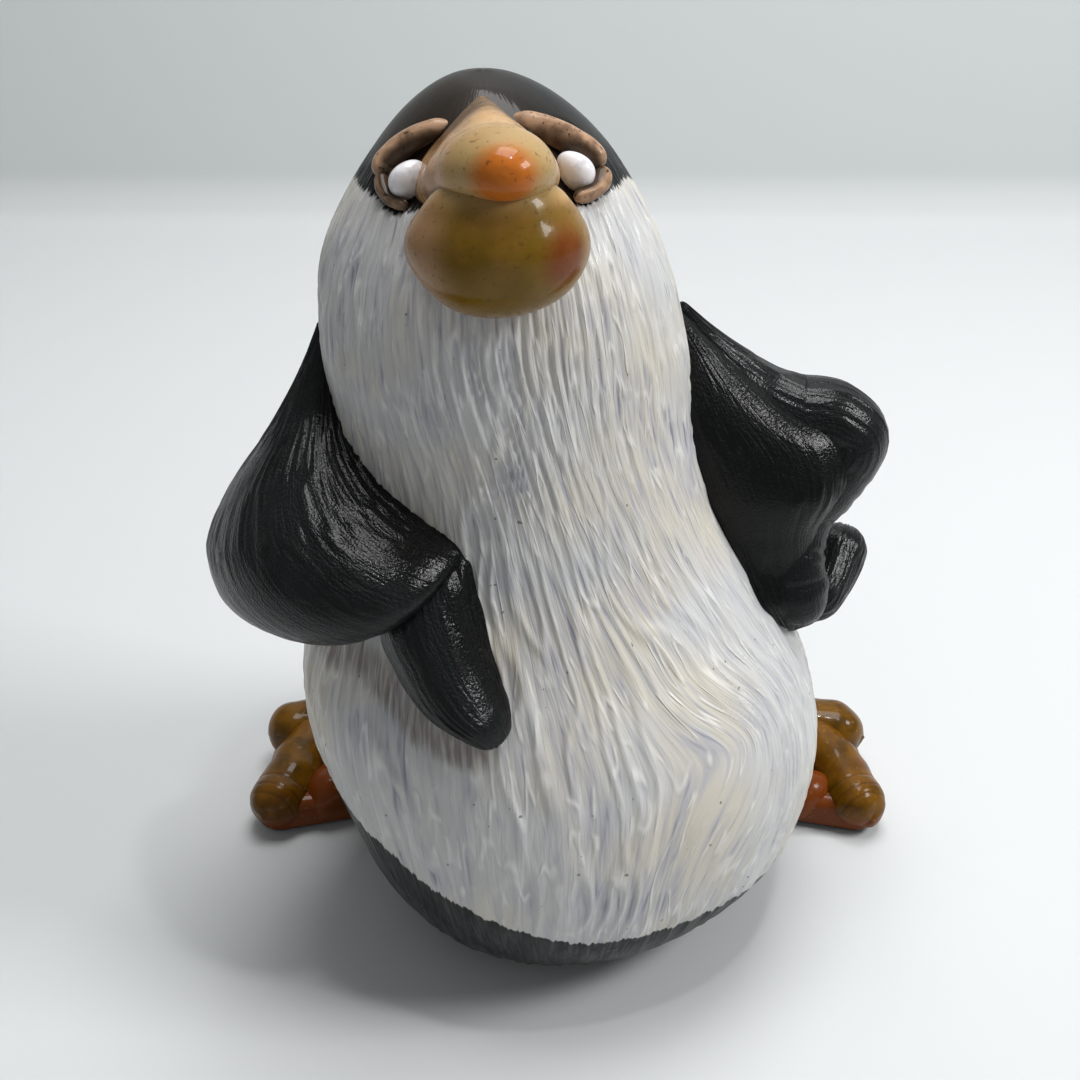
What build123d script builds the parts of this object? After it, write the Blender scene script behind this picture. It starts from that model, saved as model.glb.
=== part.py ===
from build123d import *
import math
import os

import numpy as np

# A comic penguin figurine of painted cast resin: chin up, wings on its hips, feet turned out.
# The origin is the middle of the flat base, +Z is up and the figure faces -Y, so that its own
# right side is at -X. Sizes are in millimetres and angles in degrees. A bearing is measured
# round the body from +X, so 270 is straight ahead.

# Body: a white breast shell let into a black back shell, hollow inside
BODY_HEIGHT = 100.0
BELLY_WIDTH = 63.0
BELLY_DEPTH = 59.0
CROWN_LEAN = 7.7
CROWN_SETBACK = 4.0
WALL = 4.4
CAVITY_HEADROOM = 5.4
FLOOR_THICKNESS = 4.0
BODY_SECTION_SHARES = (
    # height, lean, setback, width, depth
    (0.000, 0.00, -0.12, 0.556, 0.610),
    (0.030, 0.00, -0.20, 0.698, 0.746),
    (0.080, 0.00, -0.25, 0.857, 0.881),
    (0.160, 0.00, -0.37, 0.978, 0.983),
    (0.250, 0.00, -0.37, 1.000, 1.000),
    (0.340, 0.06, -0.37, 0.937, 0.932),
    (0.440, 0.26, -0.12, 0.787, 0.780),
    (0.540, 0.49, 0.00, 0.651, 0.644),
    (0.640, 0.70, 0.12, 0.594, 0.593),
    (0.740, 0.86, 0.25, 0.590, 0.583),
    (0.820, 0.92, 0.45, 0.552, 0.553),
    (0.880, 0.92, 0.65, 0.470, 0.485),
    (0.930, 0.92, 0.82, 0.368, 0.383),
    (0.970, 0.95, 0.95, 0.238, 0.254),
    (0.993, 0.99, 1.00, 0.108, 0.115),
    (1.000, 1.00, 1.00, 0.000, 0.000),
)

# Seam between the two shells, a rounded corner in side view with a lap behind it
CAP_DEPTH = 10.0
RIM_HEIGHT = 14.0
BREAST_BACK = 10.0
BREAST_CORNER = 10.0
SEAM_LAP = 2.0

# Pegs that locate the glued pieces, and the gap of glue round them
GLUE_GAP = 0.1
PEG_REACH = 3.0
PEG_TAIL = 1.0
WING_PEG_RADIUS = 2.6
BEAK_PEG_RADIUS = 2.2
TAIL_PEG_RADIUS = 2.0
FOOT_PEG_RADIUS = 1.2

# Plug that closes the pouring hole in the base
PLUG_RADIUS = 9.0
PLUG_FLANGE = 2.0
PLUG_FLANGE_THICKNESS = 1.6
PLUG_TAIL = 1.0

# Head, turned a little to the figure's left
HEAD_TURN = 3.4
BEAK_LENGTH = 16.0
BEAK_WIDTH = 13.2
BEAK_DEPTH = 11.2
BEAK_DROP = 6.5
BEAK_RISE = 12.2
BEAK_RING_SHARES = (
    # distance from the face, width, depth
    (-0.435, 0.98, 0.96),
    (-0.120, 0.97, 0.96),
    (0.210, 0.91, 0.88),
    (0.500, 0.83, 0.84),
    (0.770, 0.70, 0.77),
    (0.930, 0.44, 0.50),
)
POUCH_WIDTH = 17.0
POUCH_LENGTH = 16.0
POUCH_DEPTH = 12.4
POUCH_DROP = 11.7
POUCH_STANDOFF = 4.5
POUCH_RISE = 20.0

# Eyes and their modelled lids
EYE_RADIUS = 2.35
EYE_DROP = 7.75
EYE_SKEW = 0.25
EYE_SINK = 0.3
EYE_SPREAD = 42.3
UPPER_LID_THICKNESS = 2.1
UPPER_LID_RADIUS = 4.6
UPPER_LID_RISE = 1.2
UPPER_LID_SINK = 0.4
UPPER_LID_SWEEP = (-36.0, 98.0)
LOWER_LID_THICKNESS = 1.4
LOWER_LID_RADIUS = 3.2
LOWER_LID_RISE = 0.3
LOWER_LID_SINK = 0.1
LOWER_LID_SWEEP = (-118.0, -16.0)
LID_THICKNESS_SHARES = (0.60, 0.90, 1.00, 0.90, 0.60)

# Wings, each a ladder of rungs from an inner edge on the body to an outer edge clear of it
WING_SINK = 1.5
RIGHT_WING_REACH = 13.6
RIGHT_WING_THICKNESS = 13.0
RIGHT_WING_FACING = 225.0
RIGHT_WING_RUNG_SHARES = (
    # inner height and bearing, outer height, bearing and reach, thickness
    (0.690, 194.0, 0.685, 176.0, 0.29, 0.54),
    (0.650, 204.0, 0.610, 178.0, 0.62, 0.77),
    (0.615, 224.0, 0.540, 180.0, 0.93, 0.92),
    (0.590, 238.0, 0.475, 183.0, 1.00, 1.00),
    (0.573, 249.0, 0.418, 187.0, 0.81, 1.00),
    (0.560, 255.0, 0.405, 201.0, 0.33, 0.88),
    (0.535, 257.5, 0.435, 219.0, 0.18, 0.77),
    (0.495, 259.0, 0.435, 227.0, 0.11, 0.69),
    (0.445, 261.0, 0.415, 233.0, 0.07, 0.62),
    (0.410, 262.0, 0.395, 243.0, 0.06, 0.50),
)
RIGHT_WING_END_SHARES = ((0.740, 180.5, 0.02), (0.384, 256.0, 0.03))
RIGHT_WING_PEG_RUNG = 3
LEFT_WING_REACH = 23.5
LEFT_WING_THICKNESS = 14.0
LEFT_WING_FACING = 270.0
LEFT_WING_RUNG_SHARES = (
    (0.695, 4.0, 0.705, 10.0, 0.26, 0.57),
    (0.640, 4.0, 0.660, 11.0, 0.55, 0.86),
    (0.585, 2.0, 0.625, 11.5, 0.89, 1.00),
    (0.545, -2.0, 0.570, 12.0, 1.00, 1.00),
    (0.505, -6.0, 0.510, 13.0, 0.79, 0.93),
    (0.465, -10.0, 0.460, 11.0, 0.51, 0.86),
    (0.425, -11.0, 0.415, 8.0, 0.38, 0.75),
    (0.395, -9.0, 0.380, 5.0, 0.26, 0.61),
)
LEFT_WING_END_SHARES = ((0.750, 4.0, 0.02), (0.365, -3.0, 0.04))
LEFT_WING_PEG_RUNG = 3
FLIPPER_ROOT_RADIUS = 4.4
FLIPPER_TIP_RADIUS = 2.8
FLIPPER_SHARES = ((0.410, 8.0, 0.28), (0.375, 22.0, 0.60))

# Feet, a pair mirrored about a middle that lies a little to the figure's left
FEET_SPAN = 85.5
FEET_MIDDLE = 1.7
FOOT_FRONT = 1.0
FOOT_LENGTH = 23.0
TOE_HEIGHT = 9.0
WEB_THICKNESS = 4.0
ANKLE_RADIUS = 7.0
ANKLE_SHARES = (0.36, 0.62)
TOE_SHARES = {
    # root across, along and up, tip across, along and up, root and tip thickness
    "middle": (0.84, 0.68, 0.64, 0.900, 0.15, 0.50, 0.74, 0.85),
    "outer": (0.42, 0.91, 0.58, 0.900, 0.84, 0.49, 0.62, 0.77),
    "inner": (0.44, 0.36, 0.60, 0.740, 0.22, 0.41, 0.58, 0.62),
}

# Tail, a short blunt wedge low on the back
TAIL_LENGTH = 11.0
TAIL_WIDTH = 20.0
TAIL_DEPTH = 9.0
TAIL_HEIGHT = 13.0
TAIL_DROOP = 38.0
TAIL_RING_SHARES = (
    # distance from the back, width, depth
    (-0.50, 1.00, 1.00),
    (0.00, 1.00, 0.90),
    (0.45, 0.88, 0.68),
    (0.85, 0.60, 0.42),
)

RING_POINTS = 16
RING_START = 65.0
STRAIGHT_AHEAD = 270.0
STRAIGHT_BACK = 90.0
UP = Vector(0, 0, 1)


def ring(plane, half_width, half_depth):
    """A closed smooth oval on a plane, through points at even angles."""
    points = []
    for step in range(RING_POINTS):
        angle = math.radians(RING_START) + math.tau * step / RING_POINTS
        point = (half_width * math.cos(angle), half_depth * math.sin(angle))
        points.append(plane.from_local_coords(point))
    return Wire([Edge.make_spline(points, periodic=True)])


def rounded_roll(start, end, start_radius, end_radius):
    """A straight tapered roll between two points, with a ball at each end."""
    length = (end - start).length
    side = Line((start_radius, 0), (end_radius, length))
    tip = RadiusArc((end_radius, length), (0, length + end_radius), -end_radius)
    middle = Line((0, length + end_radius), (0, -start_radius))
    heel = RadiusArc((0, -start_radius), (start_radius, 0), -start_radius)
    profile = make_face([side, tip, middle, heel])
    upright = revolve(Plane.XZ * profile, Axis.Z)
    return Plane(origin=start, z_dir=end - start) * upright


def peg(start, end, radius):
    """A round peg from one point to another."""
    align = (Align.CENTER, Align.CENTER, Align.MIN)
    return Plane(origin=start, z_dir=end - start) * Cylinder(radius, (end - start).length, align=align)


def body_section(height):
    """Middle and half sizes of the body's oval at a height, read between the rows of its table."""
    heights, leans, setbacks, widths, depths = zip(*BODY_SECTION_SHARES)
    share = height / BODY_HEIGHT
    middle_x = -CROWN_LEAN * float(np.interp(share, heights, leans))
    middle_y = CROWN_SETBACK * float(np.interp(share, heights, setbacks))
    half_width = BELLY_WIDTH / 2 * float(np.interp(share, heights, widths))
    half_depth = BELLY_DEPTH / 2 * float(np.interp(share, heights, depths))
    return middle_x, middle_y, half_width, half_depth


def on_body(height, bearing, standoff):
    """The point at a height and bearing that stands off the body's side by a distance."""
    middle_x, middle_y, half_width, half_depth = body_section(height)
    across = math.cos(math.radians(bearing))
    along = math.sin(math.radians(bearing))
    outward = Vector(across / half_width, along / half_depth, 0).normalized()
    return Vector(middle_x + half_width * across, middle_y + half_depth * along, height) + outward * standoff


def body_form(inset, floor, headroom):
    """The body's form drawn in by an inset, from a flat floor to a point under the crown."""
    heights = [share[0] * BODY_HEIGHT for share in BODY_SECTION_SHARES]
    levels = [floor] + [height for height in heights if height > floor]
    sections = []
    for level in levels:
        middle_x, middle_y, half_width, half_depth = body_section(level)
        if min(half_width, half_depth) > inset and level < BODY_HEIGHT - headroom:
            plane = Plane(origin=(middle_x, middle_y, level))
            sections.append(ring(plane, half_width - inset, half_depth - inset))
    crown_x, crown_y, _, _ = body_section(BODY_HEIGHT - headroom)
    return Solid.make_loft(sections + [Vertex(crown_x, crown_y, BODY_HEIGHT - headroom)])


def breast_block(lap):
    """The side view of the breast, drawn in by a lap, as a block right across the body."""
    front = -BELLY_DEPTH
    back = BREAST_BACK - lap
    bottom = RIM_HEIGHT + lap
    top = BODY_HEIGHT - CAP_DEPTH - lap
    outline = make_face(Polyline((front, bottom), (back, bottom), (back, top), (front, top), close=True))
    corners = outline.vertices().sort_by(Axis.X)[-2:]
    return extrude(Plane.YZ * fillet(corners, BREAST_CORNER - lap), amount=BELLY_WIDTH, both=True)


def make_shells(outer):
    """The breast shell and the back shell, lapped along their seam round one cavity."""
    cavity = body_form(WALL, FLOOR_THICKNESS, CAVITY_HEADROOM)
    half_wall = body_form(WALL / 2, FLOOR_THICKNESS / 2, CAVITY_HEADROOM / 2)
    breast = (outer & breast_block(0)) - cavity - (half_wall - breast_block(SEAM_LAP))
    back = outer - cavity - breast
    return breast, back


def wing_edges(rungs, reach):
    """The inner and outer ends of a wing's rungs."""
    inners = []
    outers = []
    for inner_height, inner_bearing, outer_height, outer_bearing, reach_share, _ in rungs:
        inners.append(on_body(inner_height * BODY_HEIGHT, inner_bearing, -WING_SINK))
        outers.append(on_body(outer_height * BODY_HEIGHT, outer_bearing, reach_share * reach))
    return inners, outers


def wing_form(rungs, ends, reach, thickness, facing):
    """A wing skinned over ovals, each as wide as its rung and turned to one bearing."""
    inners, outers = wing_edges(rungs, reach)
    shoulder, tip = [on_body(share[0] * BODY_HEIGHT, share[1], share[2] * reach) for share in ends]
    broadside = Vector(math.cos(math.radians(facing)), math.sin(math.radians(facing)), 0)
    sections = [Vertex(shoulder)]
    for inner, outer, rung in zip(inners, outers, rungs):
        across = outer - inner
        plane = Plane(origin=(inner + outer) / 2, x_dir=across, z_dir=across.cross(broadside))
        sections.append(ring(plane, across.length / 2, rung[-1] * thickness / 2))
    return Solid.make_loft(sections + [Vertex(tip)], ruled=True)


def wing_peg(rungs, reach, index, radius):
    """The peg that locates a wing in the wall of the body, from the middle of one rung."""
    inners, outers = wing_edges(rungs, reach)
    start = (inners[index] + outers[index]) / 2
    middle_x, middle_y, _, _ = body_section(start.Z)
    bearing = math.degrees(math.atan2(start.Y - middle_y, start.X - middle_x))
    return peg(start, on_body(start.Z, bearing, -WALL - PEG_TAIL), radius)


def right_wing_peg(radius):
    """The peg of the right wing, or with a larger radius its hole."""
    return wing_peg(RIGHT_WING_RUNG_SHARES, RIGHT_WING_REACH, RIGHT_WING_PEG_RUNG, radius)


def left_wing_peg(radius):
    """The peg of the left wing, or with a larger radius its hole."""
    return wing_peg(LEFT_WING_RUNG_SHARES, LEFT_WING_REACH, LEFT_WING_PEG_RUNG, radius)


def make_right_wing(outer):
    """The bent right wing, with its hand laid on the belly."""
    form = wing_form(
        RIGHT_WING_RUNG_SHARES,
        RIGHT_WING_END_SHARES,
        RIGHT_WING_REACH,
        RIGHT_WING_THICKNESS,
        RIGHT_WING_FACING,
    )
    return form - outer + right_wing_peg(WING_PEG_RADIUS)


def make_left_wing(outer):
    """The left wing, set on the hip with its flipper bent back."""
    form = wing_form(
        LEFT_WING_RUNG_SHARES,
        LEFT_WING_END_SHARES,
        LEFT_WING_REACH,
        LEFT_WING_THICKNESS,
        LEFT_WING_FACING,
    )
    root, tip = [
        on_body(share[0] * BODY_HEIGHT, share[1], share[2] * LEFT_WING_REACH) for share in FLIPPER_SHARES
    ]
    flipper = rounded_roll(root, tip, FLIPPER_ROOT_RADIUS, FLIPPER_TIP_RADIUS)
    return form + flipper - outer + left_wing_peg(WING_PEG_RADIUS)


def head_plane(origin, rise):
    """A plane across the head: X to its left, Y up and Z ahead, tipped up by a rise."""
    turn = math.radians(HEAD_TURN)
    tip = math.radians(rise)
    across = Vector(math.cos(turn), math.sin(turn), 0)
    level = Vector(math.sin(turn), -math.cos(turn), 0)
    return Plane(origin=origin, x_dir=across, z_dir=level * math.cos(tip) + UP * math.sin(tip))


def face_peg(drop, radius):
    """The peg that locates half of the beak in the face."""
    height = BODY_HEIGHT - drop
    bearing = STRAIGHT_AHEAD + HEAD_TURN
    return peg(on_body(height, bearing, PEG_REACH), on_body(height, bearing, -WALL - PEG_TAIL), radius)


def upper_beak_form():
    """The upper half of the beak, skinned over rings from inside the forehead to its tip."""
    face = on_body(BODY_HEIGHT - BEAK_DROP, STRAIGHT_AHEAD + HEAD_TURN, 0)
    plane = head_plane(face, BEAK_RISE)
    sections = []
    for distance_share, width_share, depth_share in BEAK_RING_SHARES:
        section_plane = plane.offset(distance_share * BEAK_LENGTH)
        sections.append(ring(section_plane, width_share * BEAK_WIDTH / 2, depth_share * BEAK_DEPTH / 2))
    return Solid.make_loft(sections + [Vertex(plane.offset(BEAK_LENGTH).origin)])


def lower_beak_form():
    """The lower half of the beak, a full round pouch under the upper half."""
    middle = on_body(BODY_HEIGHT - POUCH_DROP, STRAIGHT_AHEAD + HEAD_TURN, POUCH_STANDOFF)
    ball = scale(Sphere(1), by=(POUCH_WIDTH / 2, POUCH_DEPTH / 2, POUCH_LENGTH / 2))
    return head_plane(middle, POUCH_RISE) * ball


def eye_plane(side):
    """A plane at an eye's middle: X away from the beak, Y up the brow, with side -1 on the right."""
    bearing = STRAIGHT_AHEAD + HEAD_TURN + side * EYE_SPREAD
    height = BODY_HEIGHT - EYE_DROP + side * EYE_SKEW
    angle = math.radians(bearing)
    across = Vector(-math.sin(angle), math.cos(angle), 0) * side
    brow = on_body(height + EYE_RADIUS, bearing, 0) - on_body(height - EYE_RADIUS, bearing, 0)
    return Plane(origin=on_body(height, bearing, -EYE_SINK), x_dir=across, z_dir=across.cross(brow))


def lid_form(side, radius, rise, sink, sweep, thickness):
    """A tapered roll laid round an eye on an arc that is sunk into the head."""
    plane = eye_plane(side)
    start, end = [math.radians(angle) for angle in sweep]

    def on_arc(angle):
        return plane.from_local_coords((radius * math.cos(angle), rise + radius * math.sin(angle), -side * sink))

    sections = [Vertex(on_arc(start))]
    for index, share in enumerate(LID_THICKNESS_SHARES):
        angle = start + (end - start) * (index + 1) / (len(LID_THICKNESS_SHARES) + 1)
        radial = plane.x_dir * math.cos(angle) + plane.y_dir * math.sin(angle)
        along = plane.y_dir * math.cos(angle) - plane.x_dir * math.sin(angle)
        section_plane = Plane(origin=on_arc(angle), x_dir=radial, z_dir=along)
        sections.append(ring(section_plane, share * thickness / 2, share * thickness / 2))
    return Solid.make_loft(sections + [Vertex(on_arc(end))])


def make_eye(side):
    """A whole ball set half into the head."""
    return eye_plane(side) * Sphere(EYE_RADIUS)


def upper_lid_form(side):
    """The thick lid over an eye."""
    return lid_form(
        side, UPPER_LID_RADIUS, UPPER_LID_RISE, UPPER_LID_SINK, UPPER_LID_SWEEP, UPPER_LID_THICKNESS
    )


def lower_lid_form(side):
    """The thin rim under an eye."""
    return lid_form(
        side, LOWER_LID_RADIUS, LOWER_LID_RISE, LOWER_LID_SINK, LOWER_LID_SWEEP, LOWER_LID_THICKNESS
    )


def on_foot(side, across_share, along_share, height):
    """A point of a foot, across from the middle of the pair and back from the front edge."""
    x = FEET_MIDDLE + side * across_share * FEET_SPAN / 2
    return Vector(x, FOOT_FRONT + along_share * FOOT_LENGTH, height)


def toe_form(side, shares):
    """A toe that swells from its root at the ankle to a round tip, clear of the floor."""
    root_across, root_along, root_up, tip_across, tip_along, tip_up, root_size, tip_size = shares
    root = on_foot(side, root_across, root_along, root_up * TOE_HEIGHT)
    tip = on_foot(side, tip_across, tip_along, tip_up * TOE_HEIGHT)
    return rounded_roll(root, tip, root_size * TOE_HEIGHT / 2, tip_size * TOE_HEIGHT / 2)


def web_form(side):
    """The flat web under a foot's toes, the hull of its ankle and its toe tips."""
    ankle = on_foot(side, *ANKLE_SHARES, 0)
    edges = [(Pos(ankle.X, ankle.Y) * Circle(ANKLE_RADIUS)).edge()]
    for shares in TOE_SHARES.values():
        tip = on_foot(side, shares[3], shares[4], 0)
        edges.append((Pos(tip.X, tip.Y) * Circle(shares[-1] * TOE_HEIGHT / 2)).edge())
    return extrude(make_hull(edges), amount=WEB_THICKNESS)


def foot_peg(side, radius):
    """The peg that locates a foot in the floor of the body."""
    ankle = on_foot(side, *ANKLE_SHARES, WEB_THICKNESS / 2)
    middle_x, middle_y, _, _ = body_section(WEB_THICKNESS / 2)
    bearing = math.degrees(math.atan2(ankle.Y - middle_y, ankle.X - middle_x))
    start = on_body(WEB_THICKNESS / 2, bearing, PEG_REACH)
    end = on_body(WEB_THICKNESS / 2, bearing, -WALL)
    return peg(start, end, radius)


def make_foot(side, outer):
    """One foot: the middle toe whole, the others cut by it, and the web fitted round them."""
    toes = {name: toe_form(side, shares) - outer for name, shares in TOE_SHARES.items()}
    toes["outer"] = toes["outer"] - toes["middle"]
    toes["inner"] = toes["inner"] - toes["middle"] - toes["outer"]
    web = web_form(side) - [outer, *toes.values()]
    return toes, web + foot_peg(side, FOOT_PEG_RADIUS)


def tail_peg(radius):
    """The peg that locates the tail in the wall of the body."""
    start = on_body(TAIL_HEIGHT, STRAIGHT_BACK, PEG_REACH)
    return peg(start, on_body(TAIL_HEIGHT, STRAIGHT_BACK, -WALL - PEG_TAIL), radius)


def make_tail(outer):
    """The tail, skinned over rings from inside the back to its tip."""
    droop = math.radians(TAIL_DROOP)
    heading = Vector(0, math.cos(droop), -math.sin(droop))
    plane = Plane(origin=on_body(TAIL_HEIGHT, STRAIGHT_BACK, 0), x_dir=(1, 0, 0), z_dir=heading)
    sections = []
    for distance_share, width_share, depth_share in TAIL_RING_SHARES:
        section_plane = plane.offset(distance_share * TAIL_LENGTH)
        sections.append(ring(section_plane, width_share * TAIL_WIDTH / 2, depth_share * TAIL_DEPTH / 2))
    form = Solid.make_loft(sections + [Vertex(plane.offset(TAIL_LENGTH).origin)])
    return form - outer + tail_peg(TAIL_PEG_RADIUS)


def plug_form(gap):
    """The stepped plug of the pouring hole, or with a gap the hole that it fits."""
    align = (Align.CENTER, Align.CENTER, Align.MIN)
    flange = Cylinder(PLUG_RADIUS + PLUG_FLANGE + gap, PLUG_FLANGE_THICKNESS, align=align)
    return flange + Cylinder(PLUG_RADIUS + gap, FLOOR_THICKNESS + PLUG_TAIL, align=align)


def make_parts():
    """Every piece of the figurine by its name."""
    outer = body_form(0, 0, 0)
    parts = {}
    parts["breast_shell"], parts["back_shell"] = make_shells(outer)
    parts["base_plug"] = plug_form(0)
    parts["right_wing"] = make_right_wing(outer)
    parts["left_wing"] = make_left_wing(outer)
    upper_beak = upper_beak_form() - outer
    lower_beak = lower_beak_form() - outer - upper_beak
    eyes = {}
    for name, side in (("right", -1), ("left", 1)):
        eyes[name] = make_eye(side)
        parts[f"{name}_eye"] = eyes[name] - upper_beak - lower_beak
        upper_lid = upper_lid_form(side) - outer - eyes[name] - upper_beak - lower_beak
        parts[f"{name}_upper_eyelid"] = upper_lid
        parts[f"{name}_lower_eyelid"] = lower_lid_form(side) - outer - eyes[name] - lower_beak - upper_lid
        toes, parts[f"{name}_foot_web"] = make_foot(side, outer)
        for toe_name, toe in toes.items():
            parts[f"{name}_{toe_name}_toe"] = toe
    pouch_peg_drop = POUCH_DROP + POUCH_DEPTH / 4
    parts["upper_beak"] = upper_beak + face_peg(BEAK_DROP, BEAK_PEG_RADIUS)
    parts["lower_beak"] = lower_beak + face_peg(pouch_peg_drop, BEAK_PEG_RADIUS)
    parts["tail"] = make_tail(outer)
    holes = [
        plug_form(GLUE_GAP),
        right_wing_peg(WING_PEG_RADIUS + GLUE_GAP),
        left_wing_peg(WING_PEG_RADIUS + GLUE_GAP),
        face_peg(BEAK_DROP, BEAK_PEG_RADIUS + GLUE_GAP),
        face_peg(pouch_peg_drop, BEAK_PEG_RADIUS + GLUE_GAP),
        tail_peg(TAIL_PEG_RADIUS + GLUE_GAP),
        foot_peg(-1, FOOT_PEG_RADIUS + GLUE_GAP),
        foot_peg(1, FOOT_PEG_RADIUS + GLUE_GAP),
        eyes["right"],
        eyes["left"],
    ]
    for shell in ("breast_shell", "back_shell"):
        parts[shell] = parts[shell] - holes
    return parts


os.makedirs("parts", exist_ok=True)
for name, part in make_parts().items():
    export_step(part, f"parts/{name}.step")
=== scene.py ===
import math

import bpy
import numpy as np
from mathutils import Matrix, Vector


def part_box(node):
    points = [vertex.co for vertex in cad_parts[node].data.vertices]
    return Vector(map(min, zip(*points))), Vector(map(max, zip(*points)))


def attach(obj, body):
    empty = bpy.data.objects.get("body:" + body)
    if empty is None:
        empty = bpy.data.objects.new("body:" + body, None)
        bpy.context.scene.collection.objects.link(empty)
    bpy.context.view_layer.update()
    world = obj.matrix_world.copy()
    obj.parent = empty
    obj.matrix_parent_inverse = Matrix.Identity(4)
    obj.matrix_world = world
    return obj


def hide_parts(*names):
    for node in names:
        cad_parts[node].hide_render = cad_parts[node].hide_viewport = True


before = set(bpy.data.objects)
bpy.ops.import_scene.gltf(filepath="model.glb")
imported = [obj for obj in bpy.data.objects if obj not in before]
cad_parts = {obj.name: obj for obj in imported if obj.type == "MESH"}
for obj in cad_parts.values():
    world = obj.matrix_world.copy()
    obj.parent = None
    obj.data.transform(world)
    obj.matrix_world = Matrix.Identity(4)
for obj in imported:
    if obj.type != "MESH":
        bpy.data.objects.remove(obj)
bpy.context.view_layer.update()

# Body: the white breast and the black back, cap and base rim of a hollow resin casting.
# The clay master was combed with a pointed tool, so the skin is covered with drawn strokes.
# It is painted by hand, with thin lilac-grey left in the strokes, and varnished.
MM = 0.001
breast_low, breast_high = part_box("breast_shell")
back_low, back_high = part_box("back_shell")
BODY_HEIGHT = back_high[2]
BELLY_WIDTH = max(back_high[0], breast_high[0]) - min(back_low[0], breast_low[0])
BELLY_DEPTH = back_high[1] - breast_low[1]
CROWN_LEAN = 7.7 * MM
CROWN_SETBACK = 4.0 * MM
BODY_SECTION_SHARES = (
    # height, lean, setback, width, depth
    (0.000, 0.00, -0.12, 0.556, 0.610),
    (0.030, 0.00, -0.20, 0.698, 0.746),
    (0.080, 0.00, -0.25, 0.857, 0.881),
    (0.160, 0.00, -0.37, 0.978, 0.983),
    (0.250, 0.00, -0.37, 1.000, 1.000),
    (0.340, 0.06, -0.37, 0.937, 0.932),
    (0.440, 0.26, -0.12, 0.787, 0.780),
    (0.540, 0.49, 0.00, 0.651, 0.644),
    (0.640, 0.70, 0.12, 0.594, 0.593),
    (0.740, 0.86, 0.25, 0.590, 0.583),
    (0.820, 0.92, 0.45, 0.552, 0.553),
    (0.880, 0.92, 0.65, 0.470, 0.485),
    (0.930, 0.92, 0.82, 0.368, 0.383),
    (0.970, 0.95, 0.95, 0.238, 0.254),
    (0.993, 0.99, 1.00, 0.108, 0.115),
    (1.000, 1.00, 1.00, 0.000, 0.000),
)
BODY_RINGS = 226
BODY_COLUMNS = 424
PROFILE_SAMPLES = 4 * BODY_RINGS
FRONT_CROWDING = 0.35
STRAIGHT_AHEAD = 270.0
STRAIGHT_BACK = 90.0
NOISE_ROWS = 256
# A tool stroke's line wanders over some strokes' width, and its crest is a share of the noise wide.
WANDER_STROKES = 8
WANDER_SHARE = 1.6
CREST_SHARE = 0.24
SWELL_SHARE = 0.35


def norm(vectors):
    """The root of the summed squares of each vector."""
    return np.linalg.norm(vectors, axis=-1)


def bell(value, width):
    """1 at zero, falling off as e to the minus square of the value over the width."""
    return np.exp(-((value / width) ** 2))


def way_along(points):
    """The summed chord lengths from the first point to each point."""
    return np.concatenate(([0], np.cumsum(norm(np.diff(points, axis=0)))))


def smooth_through(rows, count):
    """Points along the cubic Hermite curve through table rows of lengths, spaced by chord length."""
    rows = np.asarray(rows, float)
    knots = way_along(rows)
    slopes = np.gradient(rows, knots, axis=0)
    at = np.linspace(0, knots[-1], count)
    i = np.clip(np.searchsorted(knots, at, side="right") - 1, 0, len(knots) - 2)
    span = (knots[i + 1] - knots[i])[:, None]
    s = (at - knots[i])[:, None] / span
    ends = (2 * s**3 - 3 * s**2 + 1) * rows[i] + (3 * s**2 - 2 * s**3) * rows[i + 1]
    return ends + span * ((s**3 - 2 * s**2 + s) * slopes[i] + (s**3 - s**2) * slopes[i + 1])


def smooth_step(value, low, high):
    """0 up to low, 1 from high on, and three squares less two cubes of the share between."""
    share = np.clip((value - low) / (high - low), 0, 1)
    return share * share * (3 - 2 * share)


def soft_noise(x, y, seed, around):
    """Smooth random heights from 0 to 1: lattice values blended by smooth steps, repeating across."""
    lattice = np.random.default_rng(seed).random((around, NOISE_ROWS))
    column, row = np.floor(x).astype(int), np.floor(y).astype(int)
    across, along = smooth_step(x - column, 0, 1), smooth_step(y - row, 0, 1)
    low, high = row % NOISE_ROWS, (row + 1) % NOISE_ROWS
    near, far = lattice[column % around, low], lattice[(column + 1) % around, low]
    near_high, far_high = lattice[column % around, high], lattice[(column + 1) % around, high]
    lower = near * (1 - across) + far * across
    upper = near_high * (1 - across) + far_high * across
    return lower * (1 - along) + upper * along


def combed(across, along, width, length, seed, around):
    """Tool strokes from 0 to 1: thin crests where long noise passes its middle, on a softer swell."""
    waves = max(around // WANDER_STROKES, 1)
    wave = soft_noise(across / (WANDER_STROKES * width), along / length, seed + 2, waves)
    across = across + WANDER_SHARE * width * (wave - 0.5)
    swell = soft_noise(across / width, along / length, seed, around)
    drawn = soft_noise(across / width, along / length, seed + 1, around)
    crest = 1 - smooth_step(np.abs(drawn - 0.5), 0, CREST_SHARE)
    return SWELL_SHARE * swell + (1 - SWELL_SHARE) * crest


def combed_round(around, along, girth, width, length, seed):
    """Tool strokes round a girth, at the whole number of strokes nearest to a width."""
    count = round(girth / width)
    return combed(around, along, girth / count, length, seed, count)


def unit(vectors):
    """The same vectors at length 1."""
    return vectors / np.maximum(np.linalg.norm(vectors, axis=-1, keepdims=True), 1e-12)


def swelled(grid, relief):
    """The grid moved by a relief along its outward normals, which are across a ring crossed with along."""
    across = np.roll(grid, -1, axis=1) - np.roll(grid, 1, axis=1)
    normals = unit(np.cross(across, np.gradient(grid, axis=0)))
    outward = np.sum(normals * (grid - grid.mean(axis=1, keepdims=True)))
    return grid + np.sign(outward) * normals * relief[..., None]


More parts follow.
